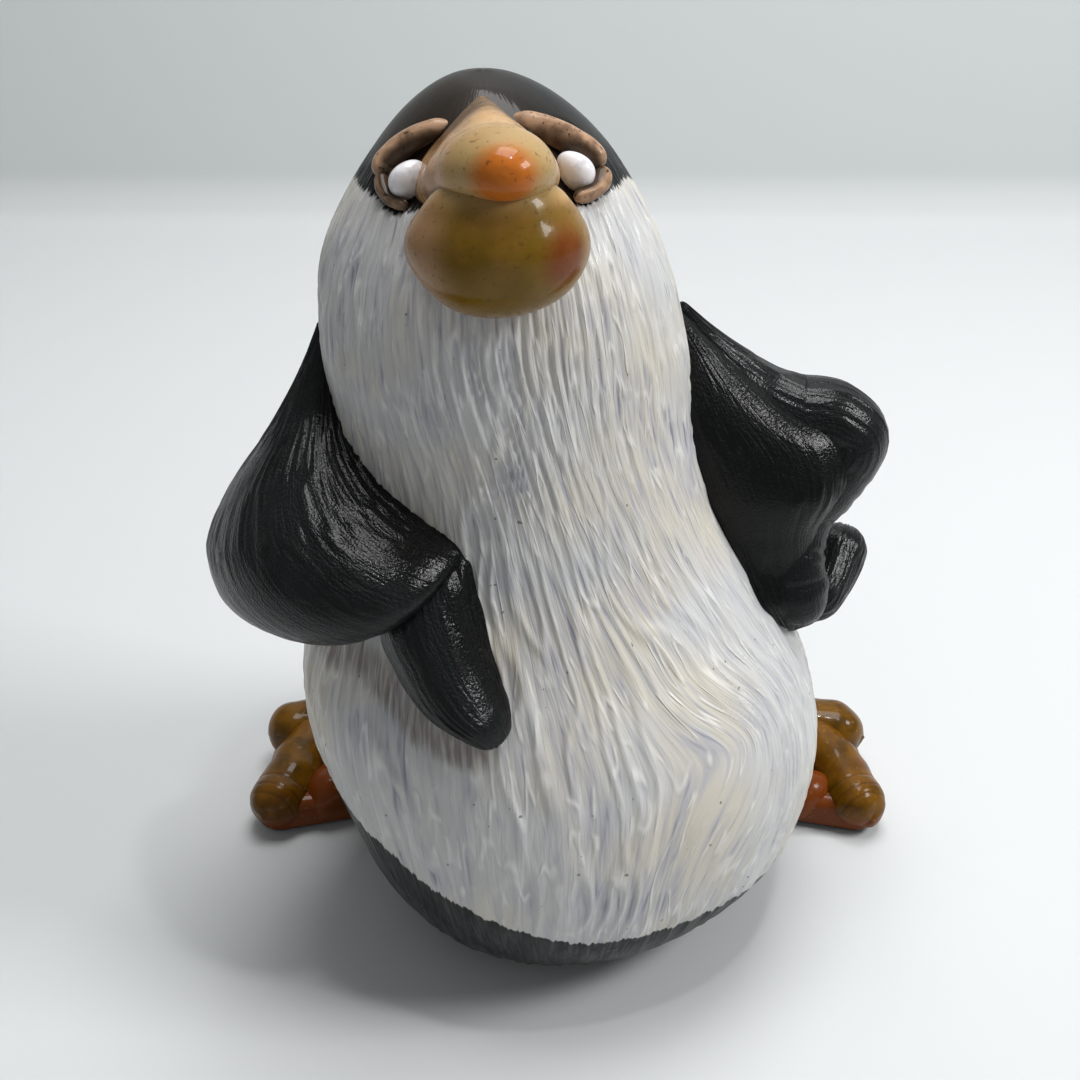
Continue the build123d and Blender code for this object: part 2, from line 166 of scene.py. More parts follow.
def placed(name, data):
    """A new object in the scene that holds the data."""
    holder = bpy.data.objects.new(name, data)
    bpy.context.scene.collection.objects.link(holder)
    return holder


def skin(name, grid, flow, values):
    """A closed mesh over a grid of rings with a pole at each end.

    The flow, across and along in millimetres with one more column than the grid, is its UV map, and
    the values are point attributes."""
    rings, around, _ = grid.shape
    count = rings * around
    points = np.concatenate((grid.reshape(-1, 3), grid[[0, -1]].mean(axis=1)))
    index = np.arange(count).reshape(rings, around)
    beside = np.roll(index, -1, axis=1)
    quads = np.stack((index[:-1], beside[:-1], beside[1:], index[1:]), axis=-1).reshape(-1, 4)
    start = np.stack((beside[0], index[0], np.full(around, count)), axis=-1)
    end = np.stack((index[-1], beside[-1], np.full(around, count + 1)), axis=-1)
    here, next_on = flow[:, :-1], flow[:, 1:]
    quad_flow = np.stack((here[:-1], next_on[:-1], next_on[1:], here[1:]), axis=2).reshape(-1, 4, 2)
    start_flow = np.stack((next_on[0], here[0], (next_on[0] + here[0]) / 2), axis=1)
    end_flow = np.stack((here[-1], next_on[-1], (next_on[-1] + here[-1]) / 2), axis=1)
    a, b, c, d = (points[quads[:, corner]] for corner in range(4))
    faces, flows = [quads, start, end], [quad_flow, start_flow, end_flow]
    if np.sum(np.cross(a, b) * c) + np.sum(np.cross(a, c) * d) < 0:
        faces, flows = [group[:, ::-1] for group in faces], [group[:, ::-1] for group in flows]
    mesh = bpy.data.meshes.new(name)
    mesh.from_pydata(points.tolist(), [], [face for group in faces for face in group.tolist()])
    mesh.polygons.foreach_set("use_smooth", np.ones(len(mesh.polygons), bool))
    corners = np.concatenate([group.reshape(-1, 2) for group in flows])
    mesh.uv_layers.new(name="flow").data.foreach_set("uv", corners.astype(np.float32).ravel())
    for key, value in values.items():
        ends = value[[0, -1]].mean(axis=1)
        flat = np.concatenate((value.reshape((count,) + value.shape[2:]), ends)).astype(np.float32)
        kind, field = ("FLOAT_VECTOR", "vector") if flat.ndim == 2 else ("FLOAT", "value")
        mesh.attributes.new(key, kind, "POINT").data.foreach_set(field, flat.ravel())
    return placed(name, mesh)


def fit(piece, slot, material, *nodes):
    """Puts a piece on the figurine, with its paint, in place of the CAD nodes that it stands for, which it
    hides. The slot is not used.
    """
    piece.data.materials.append(material)
    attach(piece, "root")
    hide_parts(*nodes)


section_sizes = np.array((BODY_HEIGHT, -CROWN_LEAN, CROWN_SETBACK, BELLY_WIDTH / 2, BELLY_DEPTH / 2))
section_rows = np.array(BODY_SECTION_SHARES) * section_sizes
body_profile = smooth_through(section_rows, PROFILE_SAMPLES)


def body_oval(height):
    """The middle's x and y, and the half width and depth, of the body's oval section at heights."""
    return [np.interp(height, body_profile[:, 0], body_profile[:, column]) for column in range(1, 5)]


def on_body(height, bearing, standoff):
    """Points at heights and bearings that stand off the body's oval section by a distance."""
    height, bearing, standoff = np.broadcast_arrays(height, np.radians(bearing), standoff)
    middle_x, middle_y, half_width, half_depth = body_oval(height)
    across, along = np.cos(bearing), np.sin(bearing)
    outward = unit(np.stack((across / half_width, along / half_depth, 0 * along), axis=-1))
    point = np.stack((middle_x + half_width * across, middle_y + half_depth * along, height), axis=-1)
    return point + outward * standoff[..., None]


# The strokes run down the body. Each row shifts their lines sideways by some degrees below a
# height, over a drop, within a spread of bearings round a middle.
STROKE_GIRTH = 27.0 * MM
STROKE_WIDTH = 1.45 * MM
STROKE_LENGTH = 8.5 * MM
STROKE_DEPTH = 0.42 * MM
LUMP_SIZE = 12.0 * MM
STROKE_SEED = 11
LUMP_DEPTH = 0.5 * MM
LUMP_SLANT = 0.7
LUMP_SEED = 5
LATTICE_SHIFT = 40
LATTICE_COLUMNS = 90
STROKE_SHIFTS = (
    # degrees, height share, drop share, middle bearing, spread
    (17.0, 0.50, 0.20, 308.0, 34.0),
    (13.0, 0.385, 0.050, 318.0, 17.0),
    (-21.0, 0.270, 0.110, 314.0, 24.0),
    (8.0, 0.250, 0.200, 225.0, 30.0),
    (7.0, 0.700, 0.120, 265.0, 40.0),
)
CHEST_STROKE_WIDTH = 0.8 * MM
CHEST_STROKE_LENGTH = 6.0 * MM
CHEST_SEED = 14
CHEST_LOW = 50.0 * MM
CHEST_HIGH = 68.0 * MM
# The left shoulder stands a little fuller than the oval section.
SHOULDER_SWELL = 1.5 * MM
SHOULDER_HEIGHT = 69.0 * MM
SHOULDER_REACH = 12.0 * MM
SHOULDER_BEARING = 360.0
SHOULDER_SPREAD = 35.0
# Low on the right the body tucks in by a share of its half width.
TUCK_SHARE = 0.15
TUCK_LOW = 14.0 * MM
TUCK_HIGH = 36.0 * MM
TUCK_FACING_SHARES = (-0.1, 0.9)

turn = np.linspace(0, 1, BODY_COLUMNS + 1)
bearing = (STRAIGHT_BACK + 360 * (turn + FRONT_CROWDING / math.tau * np.sin(math.tau * turn)))[None, :]
rings = smooth_through(section_rows, BODY_RINGS + 1)[:-1]
height = rings[:, :1]
angle = np.radians(bearing)
tucked = smooth_step(-np.cos(angle), *TUCK_FACING_SHARES)
tuck = TUCK_SHARE * (1 - smooth_step(height, TUCK_LOW, TUCK_HIGH)) * tucked
body = np.stack(
    (
        rings[:, 1:2] + rings[:, 3:4] * np.cos(angle) * (1 - tuck),
        rings[:, 2:3] + rings[:, 4:5] * np.sin(angle),
        height + 0 * angle,
    ),
    axis=-1,
)
down = way_along(rings[:, [0, 3]])[:, None] + 0 * angle
shift = np.zeros_like(down)
for degrees, middle_height, drop, middle, spread in STROKE_SHIFTS:
    below = 1 - smooth_step(height / BODY_HEIGHT, middle_height - drop, middle_height + drop)
    shift += degrees * below * bell(bearing - middle, spread)
around = np.radians(bearing - shift) * STROKE_GIRTH
body_flow = np.stack((around, down), axis=-1) / MM
body, around, down = body[:, :-1], around[:, :-1], down[:, :-1]
girth = math.tau * STROKE_GIRTH
relief = combed_round(around, down, girth, STROKE_WIDTH, STROKE_LENGTH, STROKE_SEED)
chest = combed_round(around, down, girth, CHEST_STROKE_WIDTH, CHEST_STROKE_LENGTH, CHEST_SEED)
relief += (chest - relief) * smooth_step(height, CHEST_LOW, CHEST_HIGH)
shoulder = bell(height - SHOULDER_HEIGHT, SHOULDER_REACH)
shoulder = shoulder * bell(bearing[:, :-1] - SHOULDER_BEARING, SHOULDER_SPREAD)
lump_across = body[..., 0] / LUMP_SIZE + LATTICE_SHIFT
lump_along = (body[..., 2] + LUMP_SLANT * body[..., 1]) / LUMP_SIZE + LATTICE_SHIFT
lumps = soft_noise(lump_across, lump_along, LUMP_SEED, LATTICE_COLUMNS)

# The paint line in side view has a rounded corner at the back, and climbs to the figure's right.
CAP_EDGE = 90.0 * MM
RIM_EDGE = 13.2 * MM
RIM_CLIMB = 0.40
RIM_CLIMB_FROM = 2.5 * MM
RIM_CLIMB_MOST = 22.0 * MM
BREAST_BACK = 7.0 * MM
BREAST_CORNER = 7.0 * MM
PAINT_EDGE = 0.4 * MM
rim = RIM_EDGE + RIM_CLIMB * np.clip(RIM_CLIMB_FROM - body[..., 0], 0, RIM_CLIMB_MOST)
past_back = body[..., 1] - BREAST_BACK + BREAST_CORNER
past_edge = np.maximum(body[..., 2] - CAP_EDGE, rim - body[..., 2]) + BREAST_CORNER
corner = np.hypot(np.maximum(past_back, 0), np.maximum(past_edge, 0))
paint = BREAST_CORNER - corner - np.minimum(np.maximum(past_back, past_edge), 0)
is_white = smooth_step(paint, -PAINT_EDGE, PAINT_EDGE)

# Hollow sockets are pressed in round the eyes, and their floor is painted dark brown.
EYE_DROP = 7.75 * MM
EYE_SKEW = 0.25 * MM
EYE_SPREAD = 42.3
HEAD_TURN = 3.4
SOCKET_RADIUS = 5.2 * MM
SOCKET_EDGE = 3.4 * MM
SOCKET_DEPTH = 0.9 * MM
SOCKET_RISE = 1.2 * MM
SOCKET_FLOOR_SHARE = 0.55
BROW_STEP = 2.0 * MM


def eye_place(side, sink):
    """An eye's middle, and its axes away from the beak, up the brow and outward. Side -1 is the right."""
    bearing = STRAIGHT_AHEAD + HEAD_TURN + side * EYE_SPREAD
    height = BODY_HEIGHT - EYE_DROP + side * EYE_SKEW
    angle = math.radians(bearing)
    away = np.array((-math.sin(angle), math.cos(angle), 0)) * side
    brow = unit(on_body(height + BROW_STEP, bearing, 0) - on_body(height - BROW_STEP, bearing, 0))
    return on_body(height, bearing, -sink), away, brow, np.cross(away, brow) * side


socket = np.zeros_like(paint)
for side in (-1, 1):
    place, away, brow, _ = eye_place(side, 0)
    paint = np.minimum(paint, norm(body - place) - SOCKET_EDGE)
    from_eye = norm(body - place - SOCKET_RISE * brow)
    past_floor = smooth_step(from_eye, SOCKET_FLOOR_SHARE * SOCKET_RADIUS, SOCKET_RADIUS)
    socket = np.maximum(socket, 1 - past_floor)

# The hand of the right wing rests here, and brown paint has spread round it.
HAND_LINE_SHARES = (
    # height and bearing
    (0.420, 190.0),
    (0.405, 205.0),
    (0.425, 222.0),
    (0.410, 232.0),
    (0.385, 243.0),
    (0.375, 254.0),
)
HAND_LINE_POINTS = 24
SMUDGE_REACH = 3.6 * MM
SMUDGE_FULL_SHARE = 0.2
hand_line = on_body(*(np.array(HAND_LINE_SHARES) * (BODY_HEIGHT, 1)).T, 0)
hand_line = smooth_through(hand_line, HAND_LINE_POINTS)
from_hand = np.min([norm(body - point) for point in hand_line], axis=0)
smudge = 1 - smooth_step(from_hand, SMUDGE_FULL_SHARE * SMUDGE_REACH, SMUDGE_REACH)

# The cap is rubbed smooth and painted plain, and the strokes of the black back are shallower.
CAP_SMOOTH_FROM = CAP_EDGE - 2 * MM
CAP_SMOOTH_TO = CAP_EDGE + 4 * MM
CAP_BARE_FROM = CAP_EDGE - 1 * MM
CAP_BARE_TO = CAP_EDGE + 5 * MM
CAP_SMOOTHING_SHARE = 0.95
BACK_STROKE_SHARE = 0.55
smoothed = smooth_step(height, CAP_SMOOTH_FROM, CAP_SMOOTH_TO)
depth = STROKE_DEPTH * (BACK_STROKE_SHARE + (1 - BACK_STROKE_SHARE) * is_white)
depth = depth * (1 - CAP_SMOOTHING_SHARE * smoothed)
swell = (lumps - 0.5) * LUMP_DEPTH + shoulder * SHOULDER_SWELL - socket * SOCKET_DEPTH
body = swelled(body, (relief - 0.5) * depth + swell)
body[..., 2] = np.maximum(body[..., 2], 0)
bare = smooth_step(height + 0 * paint, CAP_BARE_FROM, CAP_BARE_TO)

# Underneath, a flat foot ring runs in to the seat of the plug that closes the pouring hole.
PLUG_SEAT_RADIUS = 11.05 * MM
PLUG_SEAT_DEPTH = 1.65 * MM
PLUG_SEAT_MIDDLE_SHARE = 0.5
FOOT_RING_SHARES = (0.3, 0.7, 0.97)
edge = body[0] * (1, 1, 0)
seat = unit(edge) * PLUG_SEAT_RADIUS
seat_floor = seat + (0, 0, PLUG_SEAT_DEPTH)
seat_middle = seat_floor * (PLUG_SEAT_MIDDLE_SHARE, PLUG_SEAT_MIDDLE_SHARE, 1)
foot_ring = [seat + (edge - seat) * share for share in FOOT_RING_SHARES]
under = [seat_middle, seat_floor, seat] + foot_ring
body = np.concatenate((under, body))
carried = [0] * len(under) + list(range(BODY_RINGS))
painted_body = skin(
    "painted_body",
    body,
    body_flow[carried],
    {
        "paint_line": paint[carried] / MM,
        "groove": 1 - relief[carried],
        "socket": socket[carried],
        "smudge": smudge[carried],
        "cap": bare[carried],
    },
)


def linear(colour):
    """The linear RGBA of an sRGB hex colour."""
    parts = [int(colour[start : start + 2], 16) / 255 for start in (1, 3, 5)]
    curve = (part / 12.92 if part <= 0.04045 else ((part + 0.055) / 1.055) ** 2.4 for part in parts)
    return (*curve, 1.0)


def add_node(material, kind, settings, inputs):
    """Adds a node with settings for its properties, and values or output sockets for its inputs."""
    node = material.node_tree.nodes.new(kind)
    for key, value in settings.items():
        setattr(node, key, value)
    for key, value in inputs.items():
        if isinstance(value, bpy.types.NodeSocket):
            material.node_tree.links.new(value, node.inputs[key])
        else:
            node.inputs[key].default_value = value
    return node.outputs


MULTIPLY = {"operation": "MULTIPLY"}
MULTIPLY_ADD = {"operation": "MULTIPLY_ADD"}
SUBTRACT = {"operation": "SUBTRACT"}
VARNISH_ROUGHNESS = 0.08
PAINT_SHINE = 0.08
PAINT_RELIEF = 0.7
VARNISH_RELIEF = 0.25
GLOSS_FROM, GLOSS_TO = 0.2, 0.8


def new_paint(name, coat):
    """A paint over cast resin with a share of varnish over it, and its shader's inputs."""
    material = bpy.data.materials.new(name)
    material.use_nodes = True
    shader = material.node_tree.nodes["Principled BSDF"].inputs
    shader["Coat Weight"].default_value = coat
    shader["Coat Roughness"].default_value = VARNISH_ROUGHNESS
    shader["Specular IOR Level"].default_value = PAINT_SHINE
    return material, shader


def brushed(material, under, colour, where, low, high, most):
    """A colour brushed over another, from none where a pattern is low to most where it is high."""
    ends = {"Value": where, "From Min": low, "From Max": high, "To Max": most}
    share = add_node(material, "ShaderNodeMapRange", {}, ends)[0]
    return add_node(material, "ShaderNodeMix", {"data_type": "RGBA"}, {0: share, 6: under, 7: colour})[2]


def stroke_pattern(material, width_mm, length_mm, detail, wander):
    """Noise drawn out along the strokes of a piece, at a width and length in millimetres."""
    flow = add_node(material, "ShaderNodeUVMap", {"uv_map": "flow"}, {})[0]
    scale = (1 / width_mm, 1 / length_mm, 1)
    place = add_node(material, "ShaderNodeMapping", {}, {"Vector": flow, "Scale": scale})[0]
    inputs = {"Vector": place, "Scale": 1.0, "Detail": detail, "Distortion": wander}
    return add_node(material, "ShaderNodeTexNoise", {"noise_dimensions": "2D"}, inputs)["Fac"]


def patch_pattern(material, size_mm, detail, offset):
    """Round patches of noise at a size in millimetres."""
    place = add_node(material, "ShaderNodeTexCoord", {}, {})["Object"]
    place = add_node(material, "ShaderNodeMapping", {}, {"Vector": place, "Location": (offset, 0, 0)})[0]
    inputs = {"Vector": place, "Scale": 1 / (size_mm * MM), "Detail": detail}
    return add_node(material, "ShaderNodeTexNoise", {}, inputs)["Fac"]


def ridge_pattern(material, noise, width):
    """Thin raised lines, 1 where the noise passes its middle and 0 a width away."""
    off = add_node(material, "ShaderNodeMath", SUBTRACT, {0: noise, 1: 0.5})[0]
    off = add_node(material, "ShaderNodeMath", {"operation": "ABSOLUTE"}, {0: off})[0]
    ends = {"Value": off, "From Min": 0.0, "From Max": width, "To Min": 1.0, "To Max": 0.0}
    return add_node(material, "ShaderNodeMapRange", {"interpolation_type": "SMOOTHSTEP"}, ends)[0]


def finish_paint(material, shader, colour, heights, depth_mm, gloss):
    """Puts a colour on a paint, with relief of a depth, and roughness for its low and high places.

    The varnish over it fills part of the relief."""
    bump = {"Height": heights, "Distance": depth_mm * MM}
    normal = add_node(material, "ShaderNodeBump", {}, bump | {"Strength": PAINT_RELIEF})[0]
    varnish = add_node(material, "ShaderNodeBump", {}, bump | {"Strength": VARNISH_RELIEF})[0]
    ends = {"From Min": GLOSS_FROM, "From Max": GLOSS_TO, "To Min": gloss[0], "To Max": gloss[1]}
    rough = add_node(material, "ShaderNodeMapRange", {}, {"Value": heights} | ends)[0]
    looks = {"Base Color": colour, "Normal": normal, "Coat Normal": varnish, "Roughness": rough}
    for socket_name, value in looks.items():
        material.node_tree.links.new(value, shader[socket_name])


# Acrylic paint under gloss varnish. White with raised drawn lines and a lighter white painted on
# their crests as a painted highlight, lilac-grey thinned into the strokes in patches, cream where it
# yellowed, and slate black with dry-brushed grey past the paint line.
WHITE_PAINT = linear("#cacac9")
CREST_HIGHLIGHT_WHITE = linear("#e9e7e4")
CREAM_PAINT = linear("#d0c9bb")
LILAC_WASH = linear("#b1b1b9")
DEEP_WASH = linear("#84838f")
CLAY_SPECK = linear("#5c564f")
BROWN_SMUDGE = linear("#75665b")
SLATE_PAINT = linear("#141617")
SLATE_DRY_BRUSH = linear("#3c3d3d")
CAP_BROWN = linear("#2b241e")
SOCKET_PAINT = linear("#1d1510")

body_paint, shader = new_paint("hand_painted_resin", coat=0.25)
drawn = stroke_pattern(body_paint, width_mm=1.5, length_mm=10.0, detail=0.5, wander=0.25)
fine = stroke_pattern(body_paint, width_mm=0.42, length_mm=5.0, detail=2.0, wander=0.3)
streak = stroke_pattern(body_paint, width_mm=0.75, length_mm=7.5, detail=1.0, wander=0.4)
broken = patch_pattern(body_paint, size_mm=3.4, detail=1.0, offset=0.43)
wash_patch = patch_pattern(body_paint, size_mm=11.0, detail=2.0, offset=0.0)
cream_patch = patch_pattern(body_paint, size_mm=17.0, detail=2.0, offset=0.31)
specks = patch_pattern(body_paint, size_mm=0.75, detail=0.0, offset=0.07)
groove, smudge, cap, paint_line, socket_floor = (
    add_node(body_paint, "ShaderNodeAttribute", {"attribute_name": name}, {})["Fac"]
    for name in ("groove", "smudge", "cap", "paint_line", "socket")
)
ends = {"Value": broken, "From Min": 0.44, "From Max": 0.60}
broken = add_node(body_paint, "ShaderNodeMapRange", {}, ends)[0]
crest = ridge_pattern(body_paint, drawn, width=0.10)
crest = add_node(body_paint, "ShaderNodeMath", MULTIPLY, {0: crest, 1: broken})[0]
washed = streak
for pattern, weight in ((wash_patch, 0.55), (fine, 0.35), (groove, 0.22), (crest, -0.15)):
    parts = {0: pattern, 1: weight, 2: washed}
    washed = add_node(body_paint, "ShaderNodeMath", MULTIPLY_ADD, parts)[0]
smudged = add_node(body_paint, "ShaderNodeMath", MULTIPLY, {0: smudge, 1: fine})[0]
WHITE_COATS = (
    # colour, pattern, where it starts and is full, most
    (CREAM_PAINT, cream_patch, 0.46, 0.66, 0.90),
    (LILAC_WASH, washed, 1.02, 1.40, 0.90),
    (DEEP_WASH, washed, 1.32, 1.50, 0.80),
    # lighter white on the crests of the strokes is a painted highlight
    (CREST_HIGHLIGHT_WHITE, crest, 0.20, 1.00, 0.55),
    (CLAY_SPECK, specks, 0.84, 0.87, 0.70),
    (BROWN_SMUDGE, smudged, 0.15, 0.60, 0.70),
)
white = WHITE_PAINT
for coat in WHITE_COATS:
    white = brushed(body_paint, white, *coat)
combed_skin = add_node(body_paint, "ShaderNodeMath", SUBTRACT, {0: 1.0, 1: cap})[0]
combing = add_node(body_paint, "ShaderNodeMath", MULTIPLY, {0: combed_skin, 1: fine})[0]
cap_patch = add_node(body_paint, "ShaderNodeMath", MULTIPLY, {0: cap, 1: cream_patch})[0]
slate = brushed(body_paint, SLATE_PAINT, SLATE_DRY_BRUSH, combing, 0.40, 0.75, 0.9)
slate = brushed(body_paint, slate, CAP_BROWN, cap_patch, 0.30, 0.55, 0.9)
ragged = {0: fine, 1: 1.2, 2: paint_line}
ragged = add_node(body_paint, "ShaderNodeMath", MULTIPLY_ADD, ragged)[0]
colour = brushed(body_paint, slate, white, ragged, 0.5, 0.75, 1.0)
colour = brushed(body_paint, colour, SOCKET_PAINT, socket_floor, 0.1, 0.9, 1.0)
crest = add_node(body_paint, "ShaderNodeMath", MULTIPLY, {0: crest, 1: combed_skin})[0]
heights = {0: crest, 1: 0.8, 2: combing}
heights = add_node(body_paint, "ShaderNodeMath", MULTIPLY_ADD, heights)[0]
finish_paint(body_paint, shader, colour, heights, depth_mm=0.16, gloss=(0.46, 0.32))
fit(painted_body, "white_paint", body_paint, "breast_shell", "back_shell")

# Base plug: a stepped disc of bare resin pressed into the pouring hole.
# It is the CAD piece itself, left unpainted, matt and a little speckled from the casting.
bare_resin, shader = new_paint("bare_cast_resin", coat=0.0)
grit = patch_pattern(bare_resin, size_mm=0.8, detail=4.0, offset=0.0)
plug_colour = brushed(bare_resin, linear("#8f8b82"), linear("#bdb8ad"), grit, 0.35, 0.65, 1.0)
finish_paint(bare_resin, shader, plug_colour, grit, depth_mm=0.05, gloss=(0.75, 0.65))
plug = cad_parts["base_plug"]
plug.data.materials.clear()
plug.data.materials.append(bare_resin)

# Wings: slate-black flaps, cast apart and glued to the body on a peg at the shoulder.
# Each is a ladder of rungs from an inner edge on the body, over a middle, to an outer edge.
# The right one hangs as a sleeve with a hand laid on the belly, the left one is set on the hip.
WING_RINGS = 210
WING_COLUMNS = 230
WING_STROKE_WIDTH = 0.62 * MM
WING_STROKE_LENGTH = 7.0 * MM
WING_STROKE_DEPTH = 0.26 * MM
WING_WORKED_SIZE = 8.0 * MM
WING_SINK = 1.5 * MM
WING_SLIM_SHARE = 0.4
WORKED_PATCHES = 6
WORKED_LEAST_SHARE = 0.25
WORKED_NOISE_SHARES = (0.3, 0.7)
SHADED_EDGE_SHARES = (-0.95, -0.45)
RIGHT_SLEEVE_RUNGS = (
    # inner height share and bearing, middle height share, bearing and standoff,
    # outer height share, bearing and standoff, thickness
    (0.742, 181.0, 0.742, 180.0, 0.2, 0.742, 179.0, 0.4, 0.8),
    (0.705, 186.0, 0.700, 181.0, 0.8, 0.695, 176.0, 2.6, 4.5),
    (0.660, 194.0, 0.645, 186.0, 2.8, 0.620, 177.0, 7.6, 9.0),
    (0.632, 213.0, 0.594, 196.0, 5.8, 0.548, 180.0, 12.5, 11.5),
    (0.607, 230.0, 0.556, 208.0, 7.2, 0.488, 183.0, 14.0, 12.5),
    (0.590, 242.0, 0.528, 220.0, 6.8, 0.447, 189.0, 11.6, 12.5),
    (0.576, 249.5, 0.508, 230.0, 5.6, 0.438, 197.0, 8.8, 11.0),
    (0.567, 253.0, 0.498, 236.0, 4.4, 0.440, 203.0, 6.8, 8.0),
    (0.563, 254.0, 0.497, 238.0, 3.0, 0.446, 207.0, 5.2, 3.5),
)
RIGHT_HAND_RUNGS = (
    (0.573, 251.0, 0.530, 239.0, 2.0, 0.500, 226.0, 0.5, 4.0),
    (0.555, 255.5, 0.512, 241.0, 2.0, 0.478, 228.0, 0.8, 8.0),
    (0.525, 256.5, 0.490, 243.0, 2.0, 0.460, 230.0, 1.0, 9.0),
    (0.504, 257.5, 0.473, 245.0, 2.0, 0.447, 233.0, 1.0, 9.0),
    (0.472, 259.0, 0.448, 248.0, 2.0, 0.428, 237.0, 1.0, 8.5),
    (0.444, 261.0, 0.427, 251.5, 1.8, 0.411, 242.0, 1.0, 8.0),
    (0.420, 262.0, 0.409, 255.0, 1.4, 0.397, 248.5, 0.8, 7.0),
    (0.400, 261.5, 0.394, 257.5, 0.8, 0.389, 253.5, 0.5, 4.5),
    (0.390, 259.5, 0.388, 258.0, 0.2, 0.387, 257.0, 0.2, 1.5),
)
LEFT_WEB_RUNGS = (
    (0.748, 9.0, 0.752, 11.0, 0.2, 0.755, 13.0, 0.4, 0.8),
    (0.690, 6.0, 0.690, 11.0, 2.4, 0.692, 15.0, 5.5, 5.5),
    (0.640, 3.0, 0.640, 6.0, 5.0, 0.645, 10.0, 11.5, 8.0),
    (0.590, 1.0, 0.592, 3.0, 7.5, 0.605, 5.0, 18.0, 9.5),
    (0.545, -2.0, 0.548, 0.0, 7.5, 0.560, 2.0, 17.0, 9.0),
    (0.500, -5.0, 0.500, -2.0, 5.0, 0.505, 2.0, 11.5, 7.0),
    (0.460, -9.0, 0.460, -4.0, 3.5, 0.460, 1.0, 8.0, 5.5),
    (0.425, -12.0, 0.420, -7.0, 2.2, 0.415, -1.0, 5.5, 4.5),
    (0.395, -10.0, 0.390, -5.0, 1.2, 0.385, -1.0, 4.0, 3.0),
    (0.380, -8.0, 0.378, -5.0, 0.2, 0.377, -3.0, 0.8, 1.5),
)
WINGS = (
    # piece, rungs, bearing that it faces, lean, share of slate (the rest is black painted shade), seed,
    # node
    ("right_wing_sleeve", RIGHT_SLEEVE_RUNGS, 225.0, 0.25, 1.0, 21, "right_wing"),
    ("right_wing_hand", RIGHT_HAND_RUNGS, 240.0, 0.0, 1.0, 25, "right_wing"),
    # the left web is mostly black: painted shade on its front face
    ("left_wing_web", LEFT_WEB_RUNGS, 270.0, -0.35, 0.3, 31, "left_wing"),
)


def wing(name, rungs, facing, lean, slate, seed):
    """A wing over bent ovals, combed along: each oval follows the quadratic curve through its rung's inner,
    middle and outer point, with its short way turned to a bearing and its fullest part leaning inward."""
    rows = np.array(rungs) * (BODY_HEIGHT, 1, BODY_HEIGHT, 1, MM, BODY_HEIGHT, 1, MM, MM)
    inner = on_body(rows[:, 0], rows[:, 1], -WING_SINK)
    middle = on_body(rows[:, 2], rows[:, 3], rows[:, 4])
    outer = on_body(rows[:, 5], rows[:, 6], rows[:, 7])
    rails = smooth_through(np.concatenate((inner, middle, outer, rows[:, 8:]), axis=1), WING_RINGS)[:, None]
    inner, middle, outer, thickness = rails[..., 0:3], rails[..., 3:6], rails[..., 6:9], rails[..., 9:]
    broadside = np.array((math.cos(math.radians(facing)), math.sin(math.radians(facing)), 0))
    across = outer - inner
    short = unit(np.cross(np.cross(across, broadside), across))
    phase = np.linspace(0, math.tau, WING_COLUMNS + 1)[None, :, None]
    share = np.cos(phase)
    line = inner * share * (share - 1) / 2 + middle * (1 - share**2) + outer * share * (share + 1) / 2
    grid = line + short * thickness / 2 * np.sin(phase) * (1 - lean * share)
    girths = norm(np.diff(grid, axis=1)).sum(axis=1, keepdims=True)
    stroke_count = round(girths.max() / WING_STROKE_WIDTH)
    around = phase[..., 0] / math.tau * stroke_count * WING_STROKE_WIDTH + 0 * girths
    along = way_along(middle[:, 0])[:, None] + 0 * around
    relief = combed(around, along, WING_STROKE_WIDTH, WING_STROKE_LENGTH, seed, stroke_count)[:, :-1]
    patch = phase[..., 0] * WORKED_PATCHES / math.tau
    worked = soft_noise(patch, along / WING_WORKED_SIZE, seed + 3, WORKED_PATCHES)[:, :-1]
    worked = WORKED_LEAST_SHARE + (1 - WORKED_LEAST_SHARE) * smooth_step(worked, *WORKED_NOISE_SHARES)
    worked = worked * np.minimum(1, girths / (WING_SLIM_SHARE * girths.max()))
    grid = swelled(grid[:, :-1], (relief - 0.5) * WING_STROKE_DEPTH * worked)
    # the edge along the body stays black: painted shade between wing and body
    clear = smooth_step(share[:, :-1, 0] + 0 * girths, *SHADED_EDGE_SHARES)
    values = {"groove": 1 - relief, "slate": slate * clear}
    return skin(name, grid, np.stack((around, along), axis=-1) / MM, values)


# Slate-black acrylic under gloss varnish. Ridges catch a dry-brushed brown-grey, and the uneven
# varnish breaks each highlight into sparkles. The edge along the body and much of the left web
# stay black, without slate or dry brush, as painted shade.
WING_BLACK = linear("#030404")
WING_SLATE = linear("#0f1415")
WING_DRY_BRUSH = linear("#221f1c")
wing_paint, shader = new_paint("slate_painted_resin", coat=0.36)
fine = stroke_pattern(wing_paint, width_mm=0.34, length_mm=4.0, detail=3.0, wander=0.3)
sheen_patch = patch_pattern(wing_paint, size_mm=7.0, detail=3.0, offset=0.0)
worn_patch = patch_pattern(wing_paint, size_mm=4.0, detail=3.0, offset=0.17)
sparkle = patch_pattern(wing_paint, size_mm=0.30, detail=2.0, offset=0.0)
groove, slate = (
    add_node(wing_paint, "ShaderNodeAttribute", {"attribute_name": name}, {})["Fac"]
    for name in ("groove", "slate")
)
